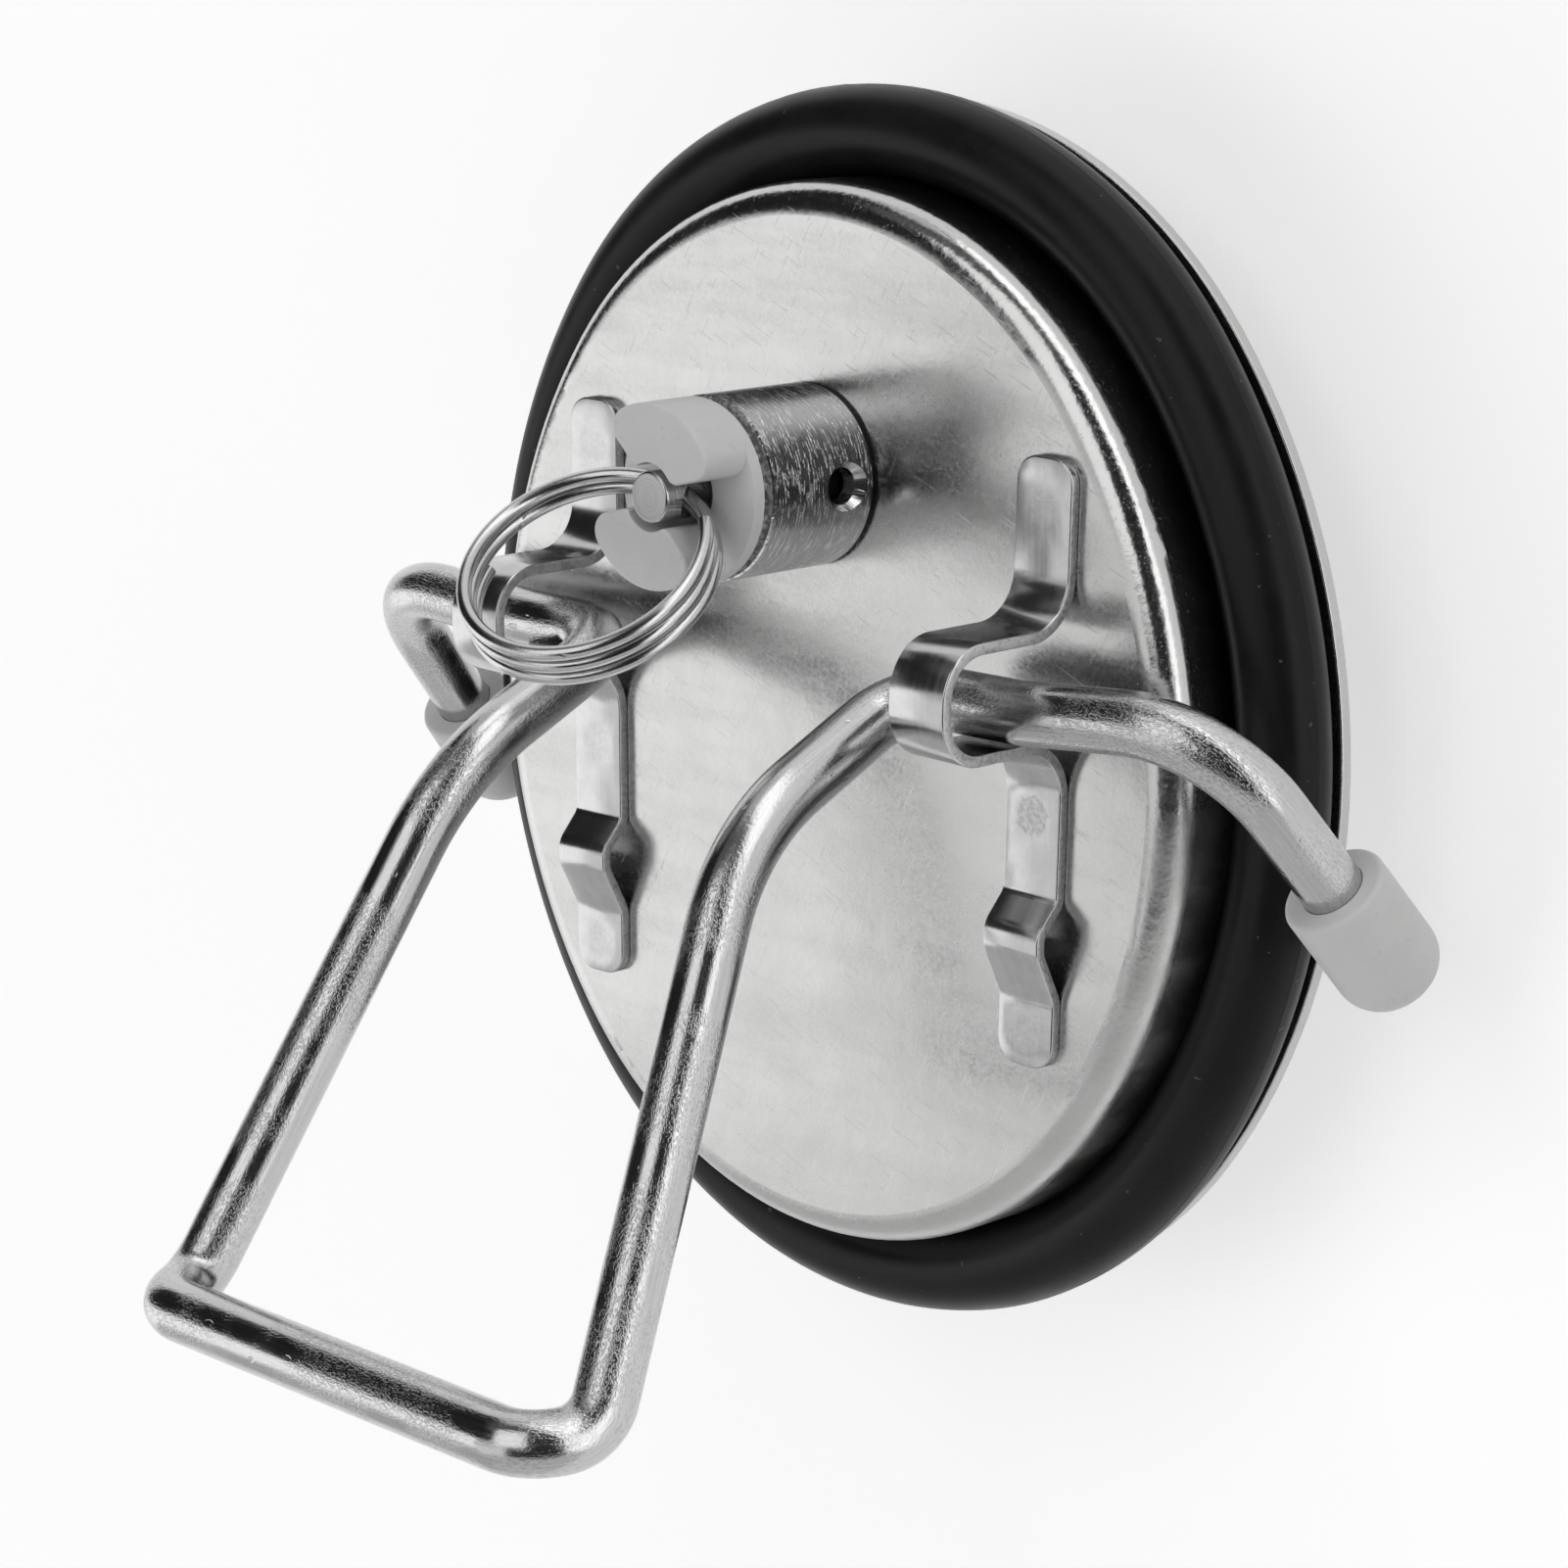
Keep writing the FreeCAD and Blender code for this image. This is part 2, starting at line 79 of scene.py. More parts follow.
# Faces that turn by less than this are one flat face
FLAT_ANGLE = radians(0.1)
# Faces that turn by more than this meet in a cut or sheared edge
CUT_ANGLE = radians(50)
# Edges of the clips that turn by more than this are shaded sharp
CREASE_ANGLE = radians(35)
# The weld prints of the clips are less deep than this
PRINT_DEPTH = 0.1 * MM

# Kinds of inputs of the geometry trees
NUMBER = "NodeSocketFloat"
COUNT = "NodeSocketInt"

# View of the photograph: where the camera stands and how it is turned
CAMERA_PLACE = Vector((0.28272, 0.08223, 0.30095))
CAMERA_RIGHT = Vector((0.70658, -0.00373, -0.70763))
CAMERA_UP = Vector((-0.14913, 0.97674, -0.15406))
CAMERA_BACK = Vector((0.69174, 0.21438, 0.68959))
IMAGE_WIDTH = 1601
FOCAL_PIXELS = 4402.9
SENSOR_WIDTH = 36.0
# Nearest and farthest place that the camera sees
CAMERA_REACH = (0.01, 20.0)
# Air between the floor and the lowest place that the feet swing to
FLOOR_GAP = 1.0 * MM

# Cards of the studio, seen from the lid: degrees right of the camera and above it, half width,
# half height and width of the soft edge, also in degrees, and brightness.
# Later cards cover earlier ones.
STUDIO_CARDS = {
    "white_wall_back": (150, 2, 34, 24, 10, 0.95),
    "grey_back_top": (-165, 48, 34, 20, 10, 0.30),
    "strip_back_top": (-158, 51, 18, 3, 3, 1.3),
    "grey_low_left": (-125, -36, 62, 18, 8, 0.50),
    "white_wall_left": (-136, -10, 50, 14, 6, 1.30),
    "white_low_left": (-68, -20, 24, 13, 6, 0.85),
    "dark_ceiling_left": (-100, 33, 38, 29, 6, 0.015),
    "dark_gap_top": (-34, 54, 34, 12, 8, 0.10),
    "soft_box_left": (-39, 20, 20, 24, 5, 1.15),
    "camera_side": (2, 12, 21, 33, 5, 0.02),
    "dark_below_camera": (-8, -27, 35, 15, 5, 0.015),
    "white_low_right": (66, -16, 34, 14, 6, 1.7),
    "soft_box_top": (46, 60, 26, 30, 6, 1.75),
    "soft_box_right": (43, 14, 18, 18, 5, 1.6),
    "dark_gap_right": (100, 16, 12, 26, 6, 0.02),
}
STUDIO_BASE = 0.58


class BailSizes(PropertyGroup):
    """Sizes of the bent bail wire."""

    wire_diameter: FloatProperty(
        name="Wire diameter", description="Thickness of the bail wire", default=5.8 * MM, unit="LENGTH")
    pivot_y: FloatProperty(
        name="Pivot place", description="Y of the pivot line in the clips", default=6.8 * MM, unit="LENGTH")
    pivot_height: FloatProperty(
        name="Pivot height", description="Z of the pivot line", default=22.5 * MM, unit="LENGTH")
    tilt: FloatProperty(
        name="Tilt", description="How far the loose bail leans over to the left",
        default=radians(1.2), subtype="ANGLE")
    inner_x: FloatProperty(
        name="Inner bend", description="X where an arm leaves the pivot line", default=19.7 * MM, unit="LENGTH")
    straight_x: FloatProperty(
        name="End of pivot line", description="X where the pivot length starts to lean",
        default=33.5 * MM, unit="LENGTH")
    outer_x: FloatProperty(
        name="Knee", description="X where a leg turns down", default=56.2 * MM, unit="LENGTH")
    outer_kink: FloatProperty(
        name="Knee offset", description="How far the knee lies behind the pivot line",
        default=1.6 * MM, unit="LENGTH")
    rise_length: FloatProperty(
        name="Rise length", description="Length of an arm's steep first stretch",
        default=23.3 * MM, unit="LENGTH")
    rise_angle: FloatProperty(
        name="Rise angle", description="Slope of the steep first stretch",
        default=radians(64.5), subtype="ANGLE")
    arm_length: FloatProperty(
        name="Arm length", description="Length of an arm from its elbow to its end",
        default=52.8 * MM, unit="LENGTH")
    arm_angle: FloatProperty(
        name="Arm angle", description="Slope of an arm after its elbow",
        default=radians(28.15), subtype="ANGLE")
    arm_end_x: FloatProperty(
        name="Arm end", description="X of an arm's end, where the wire steps up to the hand bar",
        default=28.35 * MM, unit="LENGTH")
    bar_step_in: FloatProperty(
        name="Step inwards", description="How far the step to the hand bar goes inwards",
        default=2.9 * MM, unit="LENGTH")
    bar_step_up: FloatProperty(
        name="Step up", description="How far the hand bar stands above the plane of the arms",
        default=5.0 * MM, unit="LENGTH")
    bar_step_on: FloatProperty(
        name="Step on", description="How far the step goes on along the arm", default=3.05 * MM, unit="LENGTH")
    leg_length: FloatProperty(
        name="Leg length", description="Length of wire from a knee to its end inside the foot",
        default=29.6 * MM, unit="LENGTH")
    leg_angle: FloatProperty(
        name="Leg angle", description="Slope of a leg", default=radians(39.8), subtype="ANGLE")
    leg_splay: FloatProperty(
        name="Leg splay", description="Share of a leg's length that goes outwards",
        default=4.4 / 33.4, min=0.0, max=1.0)
    knee_radius: FloatProperty(
        name="Knee radius", description="Bend radius of a knee", default=11.0 * MM, unit="LENGTH")
    lean_radius: FloatProperty(
        name="Lean radius", description="Bend radius where the pivot length starts to lean",
        default=28.0 * MM, unit="LENGTH")
    inner_radius: FloatProperty(
        name="Inner radius", description="Bend radius beside a clip", default=5.6 * MM, unit="LENGTH")
    elbow_radius: FloatProperty(
        name="Elbow radius", description="Bend radius of an arm's elbow", default=24.0 * MM, unit="LENGTH")
    arm_end_radius: FloatProperty(
        name="Arm end radius", description="Bend radius at an arm's end", default=4.8 * MM, unit="LENGTH")
    bar_end_radius: FloatProperty(
        name="Bar end radius", description="Bend radius at an end of the hand bar",
        default=5.1 * MM, unit="LENGTH")


class ClipSizes(PropertyGroup):
    """Finish of the clips' edges and the places of their spot welds."""

    ease: FloatProperty(
        name="Edge rounding", description="How far the sheared edges are rounded over",
        default=0.17 * MM, unit="LENGTH")
    top: FloatProperty(
        name="Top", description="Z of the upper face of the welded flats", default=16.7 * MM, unit="LENGTH")
    weld_diameter: FloatProperty(
        name="Weld diameter", description="Diameter of a spot weld's print", default=4.0 * MM, unit="LENGTH")
    weld_share: FloatProperty(
        name="Weld depth", description="Share of the print's depth that is kept",
        default=0.35, min=0.0, max=1.0)
    faint: FloatProperty(
        name="Faint prints", description="How plain the worn prints are; the right clip's middle one is 1",
        default=0.25, min=0.0, max=1.0)
    welds_left: FloatVectorProperty(
        name="Left welds", description="Y of the left clip's welds, from back to front",
        size=3, default=(24.0 * MM, -5.9 * MM, -26.2 * MM), unit="LENGTH")
    welds_right: FloatVectorProperty(
        name="Right welds", description="Y of the right clip's welds, from back to front",
        size=3, default=(24.0 * MM, -4.3 * MM, -24.6 * MM), unit="LENGTH")
    middle_x: FloatProperty(
        name="Clip place", description="Distance of a clip's middle line from the lid's",
        default=28.8 * MM, unit="LENGTH")
    turn: FloatProperty(
        name="Right clip's turn", description="How far the right clip is welded on askew",
        default=radians(-2.0), subtype="ANGLE")
    turn_y: FloatProperty(
        name="Turn place", description="Y about which the right clip is turned",
        default=-20.0 * MM, unit="LENGTH")


class GasketSizes(PropertyGroup):
    """Sizes of the lid gasket."""

    section: FloatProperty(
        name="Section", description="Diameter of the rubber cord", default=8.5 * MM, unit="LENGTH")
    half_length: FloatProperty(
        name="Half length", description="Half the length of the oval middle line",
        default=55.4 * MM, unit="LENGTH")
    half_width: FloatProperty(
        name="Half width", description="Half the width of the oval middle line",
        default=49.3 * MM, unit="LENGTH")
    end_radius: FloatProperty(
        name="End radius", description="Radius of the ends of the oval middle line",
        default=46.2 * MM, unit="LENGTH")
    height: FloatProperty(name="Height", description="Z of the middle line", default=5.55 * MM, unit="LENGTH")
    flash_angle: FloatProperty(
        name="Flash angle", description="Place of the outer moulding line below the widest point",
        default=radians(-6.0), subtype="ANGLE")
    flash_height: FloatProperty(
        name="Flash height", description="How far the moulding line stands proud",
        default=0.06 * MM, unit="LENGTH")
    flash_width: FloatProperty(
        name="Flash width", description="Half width of the moulding line", default=0.16 * MM, unit="LENGTH")


class RingSizes(PropertyGroup):
    """Sizes of the split pull ring."""

    outer_diameter: FloatProperty(
        name="Outer diameter", description="Outer diameter of the ring", default=24.4 * MM, unit="LENGTH")
    wire_diameter: FloatProperty(
        name="Wire diameter", description="Thickness of the ring's wire", default=1.4 * MM, unit="LENGTH")
    turn_gap: FloatProperty(name="Turn gap", description="Gap between turns", default=0.15 * MM, unit="LENGTH")
    turns: FloatProperty(name="Turns", description="Number of turns", default=2.6, min=1.0, max=6.0)
    end_angle: FloatProperty(
        name="End angle", description="Where the first end lies round the ring",
        default=radians(38.0), subtype="ANGLE")
    droop: FloatProperty(
        name="Droop", description="How far the ring hangs over from the pin",
        default=radians(35.0), subtype="ANGLE")
    turned: FloatProperty(
        name="Turned", description="How far cap, pin and ring are turned about the valve",
        default=radians(-15.0), subtype="ANGLE")
    hole_height: FloatProperty(
        name="Hole height", description="Z of the cross hole of the pin", default=32.6 * MM, unit="LENGTH")


class SpringSizes(PropertyGroup):
    """Sizes of the relief spring."""

    mean_diameter: FloatProperty(
        name="Mean diameter", description="Diameter of the wire's middle line", default=8.6 * MM, unit="LENGTH")
    wire_diameter: FloatProperty(
        name="Wire diameter", description="Thickness of the spring's wire", default=0.9 * MM, unit="LENGTH")
    turns: FloatProperty(name="Turns", description="Number of turns", default=4.0, min=1.0, max=20.0)


class Finishes(PropertyGroup):
    """Colours of the materials and the valve's place, which the turned marks follow."""

    sheet_colour: FloatVectorProperty(
        name="Pressed steel", description="Colour of the pressed sheet",
        subtype="COLOR", size=3, default=(0.55, 0.55, 0.545), min=0.0, max=1.0)
    wire_colour: FloatVectorProperty(
        name="Bright steel", description="Colour of wire, clips, ring and spring",
        subtype="COLOR", size=3, default=(0.52, 0.52, 0.52), min=0.0, max=1.0)
    turned_colour: FloatVectorProperty(
        name="Turned steel", description="Colour of the turned valve parts",
        subtype="COLOR", size=3, default=(0.64, 0.64, 0.64), min=0.0, max=1.0)
    rubber_colour: FloatVectorProperty(
        name="Rubber", description="Colour of the black rubber",
        subtype="COLOR", size=3, default=(0.008, 0.008, 0.008), min=0.0, max=1.0)
    foot_colour: FloatVectorProperty(
        name="Foot plastic", description="Colour of the foot caps",
        subtype="COLOR", size=3, default=(0.72, 0.72, 0.72), min=0.0, max=1.0)
    cap_colour: FloatVectorProperty(
        name="Cap plastic", description="Colour of the valve's cap",
        subtype="COLOR", size=3, default=(0.74, 0.74, 0.74), min=0.0, max=1.0)
    valve_y: FloatProperty(
        name="Valve place", description="Y of the valve's axis", default=23.9 * MM, unit="LENGTH")
    barrel_top: FloatProperty(
        name="Barrel top", description="Z of the upper rim of the valve's barrel",
        default=28.85 * MM, unit="LENGTH")


class StageSettings(PropertyGroup):
    """Floor and light."""

    floor_size: FloatProperty(
        name="Floor size", description="Side of the square floor", default=6.0, unit="LENGTH")
    floor_colour: FloatVectorProperty(
        name="Floor", description="Colour of the floor",
        subtype="COLOR", size=3, default=(0.88, 0.88, 0.88), min=0.0, max=1.0)
    floor_glow: FloatProperty(
        name="Floor glow", description="Light that the floor adds in the camera and in reflections",
        default=0.46, min=0.0, max=1.0)
    light: FloatProperty(
        name="Light", description="Strength of the whole studio", default=1.15, min=0.0, max=10.0)


SETTING_GROUPS = (
    ("keg_bail", BailSizes),
    ("keg_clips", ClipSizes),
    ("keg_gasket", GasketSizes),
    ("keg_ring", RingSizes),
    ("keg_spring", SpringSizes),
    ("keg_finishes", Finishes),
    ("keg_stage", StageSettings),
)


class NodeSheet:
    """Adds nodes to one tree and joins them."""

    def __init__(self, tree):
        self.tree = tree

    def add(self, kind, sockets=None, **settings):
        """Adds a node with some settings, and feeds the inputs given by name or number."""
        node = self.tree.nodes.new(kind)
        for name, value in settings.items():
            setattr(node, name, value)
        return self.feed(node, sockets or {})

    def feed(self, node, sockets):
        """Joins each input of a node to a socket or a node's first output, or sets it to a constant."""
        for name, value in sockets.items():
            if isinstance(value, Node):
                value = value.outputs[0]
            if isinstance(value, NodeSocket):
                self.tree.links.new(value, node.inputs[name])
            elif value is not None:
                node.inputs[name].default_value = value
        return node

    def math(self, operation, *values):
        return self.add("ShaderNodeMath", dict(enumerate(values)), operation=operation).outputs[0]

    def plus(self, total, *others):
        """Sum of two values or more."""
        for value in others:
            total = self.math("ADD", total, value)
        return total

    def times(self, first, second):
        return self.math("MULTIPLY", first, second)

    def vector_math(self, operation, *values):
        node = self.add("ShaderNodeVectorMath", dict(enumerate(values)), operation=operation)
        scalar = operation in ("DOT_PRODUCT", "LENGTH", "DISTANCE")
        return node.outputs["Value" if scalar else "Vector"]

    def parts(self, vector):
        return self.add("ShaderNodeSeparateXYZ", {0: vector}).outputs

    def joined(self, x, y, z):
        return self.add("ShaderNodeCombineXYZ", {0: x, 1: y, 2: z}).outputs[0]

    def noise(self, vector, scale, detail=2.0, roughness=0.5):
        """Noise of so many cells to the metre; three scales stretch it along the axes."""
        if isinstance(scale, tuple):
            vector, scale = self.vector_math("MULTIPLY", vector, scale), 1.0
        node = self.add("ShaderNodeTexNoise", {
            "Vector": vector, "Scale": scale, "Detail": detail, "Roughness": roughness})
        return node.outputs["Fac"]

    def span(self, value, low, high, to_low=0.0, to_high=1.0):
        """Value carried from one range to another, with soft ends."""
        node = self.add("ShaderNodeMapRange", {
            "Value": value, "From Min": low, "From Max": high, "To Min": to_low, "To Max": to_high,
        }, interpolation_type="SMOOTHSTEP")
        return node.outputs["Result"]

    def spread(self, noise, low=0.0, high=1.0):
        """Noise carried to a range, from the middle stretch where most of it lies."""
        return self.span(noise, NOISE_LOW, NOISE_HIGH, low, high)

    # A Mix node has its numbers at inputs 2 and 3, and its colours at 6 and 7

    def mix(self, factor, first, second):
        return self.add("ShaderNodeMix", {0: factor, 2: first, 3: second}, data_type="FLOAT").outputs[0]

    def mix_colour(self, factor, first, second):
        return self.add("ShaderNodeMix", {0: factor, 6: first, 7: second}, data_type="RGBA").outputs[2]

    def shade(self, tone, values, dark, light):
        """Colour that goes from its dark to its light share with the tone."""
        ends = [(*(part * share for part in values), 1.0) for share in (dark, light)]
        return self.mix_colour(tone, *ends)

    def bumps(self, *layers):
        """Normal bent by one layer of height after the other, each with its distance."""
        normal = None
        for height, distance in layers:
            node = self.add("ShaderNodeBump", {"Height": height, "Distance": distance, "Normal": normal})
            normal = node.outputs["Normal"]
        return normal


def cleared_sheet(data):
    """Node sheet of a material or world whose tree is emptied."""
    data.use_nodes = True
    data.node_tree.nodes.clear()
    return NodeSheet(data.node_tree)


def new_material(name, metallic=0.0):
    """Material with its node sheet and its shader."""
    material = bpy.data.materials.new(name)
    sheet = cleared_sheet(material)
    shader = sheet.add("ShaderNodeBsdfPrincipled", {"Metallic": metallic})
    sheet.add("ShaderNodeOutputMaterial", {"Surface": shader})
    return material, sheet, shader


def scratches(sheet, vector, turn, length, width, threshold):
    """Mask of thin straight scratches that run one way: stretched noise above a threshold."""
    turned = sheet.add("ShaderNodeVectorRotate", {"Vector": vector, "Angle": radians(turn)},
                       rotation_type="Z_AXIS")
    lines = sheet.noise(turned, (1 / length, 1 / width, 1 / width), 1.0, 0.4)
    return sheet.span(lines, threshold, threshold + 0.05)


def pressed_steel(finishes):
    """Deep-drawn sheet: mottled, grainy where it was drawn, with light handling scratches."""
    material, sheet, shader = new_material("pressed_steel_grained", metallic=1.0)
    place = sheet.add("ShaderNodeTexCoord").outputs
    where = place["Object"]
    facing = sheet.parts(place["Normal"])[2]
    drawn = sheet.span(facing, 0.999, 0.93)
    upright = sheet.span(facing, 0.40, 0.15)
    front = sheet.span(sheet.parts(where)[1], 10.0 * MM, -10.0 * MM)
    worn = sheet.times(drawn, front)
    clouds = sheet.noise(where, 70.0, 3.0, 0.55)
    smears = sheet.noise(where, (40.0, 220.0, 90.0), 3.0, 0.6)
    grain = sheet.noise(where, 2600.0, 2.0, 0.55)
    peel = sheet.noise(where, 1150.0)
    marks = sheet.math("MAXIMUM",
                       scratches(sheet, where, 24.0, 6.0 * MM, 0.22 * MM, 0.70),
                       scratches(sheet, where, -61.0, 4.0 * MM, 0.18 * MM, 0.71))
    tone = sheet.plus(sheet.spread(clouds, -0.04, 0.04), sheet.spread(grain, -0.04, 0.04),
                      sheet.times(marks, 0.08), 0.5)
    rough = sheet.mix(drawn, sheet.spread(smears, 0.19, 0.29), sheet.spread(smears, 0.14, 0.20))
    rough = sheet.mix(worn, rough, sheet.spread(smears, 0.30, 0.44))
    ripple = sheet.mix(worn, sheet.mix(drawn, 0.007 * MM, 0.028 * MM), 0.050 * MM)
    sheet.feed(shader, {
        "Base Color": sheet.shade(tone, finishes.sheet_colour, 0.72, 1.28),
        "Roughness": sheet.plus(rough, sheet.spread(grain, -0.03, 0.04)),
        "Normal": sheet.bumps(
            (sheet.noise(where, 95.0), 0.10 * MM),
            (peel, sheet.mix(upright, ripple, 0.004 * MM)),
            (grain, sheet.mix(upright, sheet.mix(drawn, 0.004 * MM, 0.012 * MM), 0.001 * MM)),
            (marks, -0.006 * MM)),
    })
    return material


def weld_places(clips):
    """Middle points of the six spot welds, in plan, and how plain each print is."""
    places = [(-clips.middle_x, y, clips.faint) for y in clips.welds_left]
    for y, share in zip(clips.welds_right, (clips.faint, 1.0, clips.faint)):
        away = y - clips.turn_y
        places.append((clips.middle_x - away * sin(clips.turn),
                       clips.turn_y + away * cos(clips.turn), share))
    return places


def weld_mark_mask(sheet, where, clips):
    """Mask of the round, ragged weld prints, from the distance to their middle points in plan."""
    radius = clips.weld_diameter / 2
    flat = sheet.vector_math("MULTIPLY", where, (1.0, 1.0, 0.0))
    ragged = sheet.spread(sheet.noise(where, 900.0, 2.0, 0.6), -0.35 * MM, 0.35 * MM)
    mask = 0.0
    for x, y, share in weld_places(clips):
        away = sheet.plus(sheet.vector_math("DISTANCE", flat, (x, y, 0.0)), ragged)
        mask = sheet.math("MAXIMUM", mask, sheet.span(away, radius, radius * 0.8, 0.0, share))
    return mask


def clip_steel(finishes, clips):
    """Bright strip: polished faces, dull sheared edges, the rough prints of the spot welds, and painted shade
    that darkens the tab ends.
    """
    material, sheet, shader = new_material("clip_strip_bright", metallic=1.0)
    place = sheet.add("ShaderNodeTexCoord").outputs
    where = place["Object"]
    facing = sheet.parts(place["Normal"])
    low = sheet.span(sheet.parts(where)[2], clips.top + PRINT_DEPTH, clips.top)
    side = sheet.span(sheet.math("ABSOLUTE", facing[0]), 0.86, 0.95)
    # Tab ends below the top: sheared faces whose colour is also darkened as painted shade
    end = sheet.times(sheet.span(sheet.math("ABSOLUTE", facing[1]), 0.6, 0.8), low)
    sheared = sheet.math("MAXIMUM", side, end)
    along = sheet.noise(where, (2600.0, 120.0, 120.0), 3.0, 0.55)
    strokes = sheet.noise(where, (800.0, 2600.0, 2600.0), 3.0, 0.65)
    grain = sheet.noise(where, 2600.0, 3.0, 0.6)
    smudge = sheet.noise(where, 420.0, 3.0, 0.6)
    flat = sheet.times(weld_mark_mask(sheet, where, clips), sheet.span(facing[2], 0.8, 0.95))
    weld = sheet.times(flat, low)
    tone = sheet.plus(
        sheet.spread(along, 0.47, 0.53),
        sheet.spread(smudge, -0.06, 0.06),
        sheet.times(weld, sheet.span(grain, 0.35, 0.65, -0.30, 0.04)),
        sheet.times(sheared, sheet.span(strokes, 0.35, 0.65, 0.05, 0.75)),
        # painted shade on the tab ends
        sheet.times(end, -0.8))
    rough = sheet.mix(sheared, sheet.spread(along, 0.18, 0.22), sheet.spread(strokes, 0.42, 0.56))
    sheet.feed(shader, {
        "Base Color": sheet.shade(tone, finishes.wire_colour, 0.6, 1.4),
        "Roughness": sheet.mix(weld, rough, 0.30),
        "Normal": sheet.bumps(
            (sheet.noise(where, 150.0), 0.02 * MM),
            (smudge, 0.008 * MM),
            (along, 0.002 * MM),
            (strokes, sheet.times(sheared, 0.050 * MM)),
            (grain, sheet.mix(weld, 0.003 * MM, 0.035 * MM))),
    })
    return material


def drawn_wire(name, finishes, size, pitting):
    """Bright drawn wire: long die lines that follow the wire, with pitted patches.

    The pattern's size is 1 on the bail's wire, and the pits' depth is in millimetres.
    """
    material, sheet, shader = new_material(name, metallic=1.0)
    node = sheet.add("ShaderNodeAttribute", attribute_type="GEOMETRY", attribute_name=WIRE_PLACE)
    where = node.outputs["Vector"]
    across = 1.0 / (size * MM)
    lines = sheet.noise(where, (5.0 * across, 5.0 * across, 0.18 * across), 3.0, 0.6)
    pits = sheet.noise(where, (4.8 * across, 4.8 * across, 2.6 * across), 2.0, 0.6)
    pits = sheet.span(pits, 0.64, 0.44)
    patches = sheet.span(sheet.noise(where, 130.0), 0.41, 0.57, 0.22, 1.0)
    flecks = sheet.times(patches, sheet.math("SUBTRACT", pits, 0.5))
    nicks = sheet.span(sheet.noise(where, (900.0, 900.0, 420.0), 1.0, 0.4), 0.735, 0.78)
    tone = sheet.plus(sheet.spread(lines, 0.38, 0.60), sheet.times(nicks, -0.3), sheet.times(flecks, 0.30))
    sheet.feed(shader, {
        "Base Color": sheet.shade(tone, finishes.wire_colour, 0.7, 1.3),
        "Roughness": sheet.plus(sheet.spread(lines, 0.13, 0.20), sheet.times(patches, 0.04)),
        "Normal": sheet.bumps(
            (lines, 0.006 * MM * size),
            (pits, sheet.times(patches, pitting * MM)),
            (nicks, -0.03 * MM)),
    })
    return material


def turned_steel(finishes):
    """Turned parts: fine tool rings round the valve's axis, on walls and on faces, and a painted highlight
    along the nicked barrel rim.
    """
    material, sheet, shader = new_material("turned_steel_ringed", metallic=1.0)
    place = sheet.add("ShaderNodeTexCoord").outputs
    where = sheet.vector_math("SUBTRACT", place["Object"], (0.0, finishes.valve_y, 0.0))
    x, y, z = sheet.parts(where)
    radius = sheet.vector_math("LENGTH", sheet.joined(x, y, 0.0))
    turned = sheet.joined(x, y, sheet.plus(z, radius))
    faced = sheet.span(sheet.parts(place["Normal"])[2], 0.80, 0.98)
    rings = sheet.noise(turned, (90.0, 90.0, 9000.0), 2.0, 0.6)
    dashes = sheet.noise(turned, (650.0, 650.0, 5200.0))
    glints = sheet.times(sheet.span(dashes, 0.57, 0.65), sheet.math("SUBTRACT", 1.0, faced))
    # A thin band at the barrel's rim: real nicks in its bump, and a colour lightened in them as a painted
    # highlight of the rim's edge
    rim_away = sheet.math("ABSOLUTE", sheet.math("SUBTRACT", z, finishes.barrel_top - 0.1 * MM))
    rim = sheet.span(rim_away, 0.28 * MM, 0.18 * MM)
    nicks = sheet.noise(where, (1700.0, 1700.0, 300.0), 2.0, 0.6)
    tone = sheet.plus(
        sheet.spread(rings, 0.28, 0.54),
        sheet.times(glints, 0.7),
        # painted highlight along the nicked rim
        sheet.times(rim, sheet.span(nicks, 0.42, 0.58, -0.3, 0.7)),
        sheet.times(faced, -0.30))
    sheet.feed(shader, {
        "Base Color": sheet.shade(tone, finishes.turned_colour, 0.6, 1.4),
        "Roughness": sheet.mix(faced, sheet.spread(rings, 0.13, 0.22), 0.42),
        "Normal": sheet.bumps(
            (rings, sheet.mix(faced, 0.012 * MM, 0.004 * MM)),
            (glints, 0.020 * MM),
            (nicks, sheet.times(rim, 0.06 * MM))),
    })
    return material


def black_rubber(finishes):
    """Moulded rubber with a soft sheen, faint flow marks and a few specks of dust, made once."""
    name = "black_rubber_moulded"
    if name in bpy.data.materials:
        return bpy.data.materials[name]
    material, sheet, shader = new_material(name)
    where = sheet.add("ShaderNodeTexCoord").outputs["Object"]
    cloud = sheet.noise(where, 160.0, 3.0, 0.55)
    fine = sheet.noise(where, 2200.0)
    dust = sheet.span(sheet.noise(where, 1400.0, 0.0), 0.84, 0.88)
    base = sheet.shade(sheet.spread(cloud), finishes.rubber_colour, 0.8, 1.25)
    sheet.feed(shader, {
        "Base Color": sheet.mix_colour(sheet.times(dust, 0.35), base, DUST_COLOUR),
        "Roughness": sheet.plus(sheet.spread(cloud, 0.30, 0.38), sheet.times(fine, 0.05)),
        "Specular IOR Level": 0.18,
        "Normal": sheet.bumps((cloud, 0.03 * MM), (fine, 0.002 * MM), (dust, 0.02 * MM)),
    })
    return material


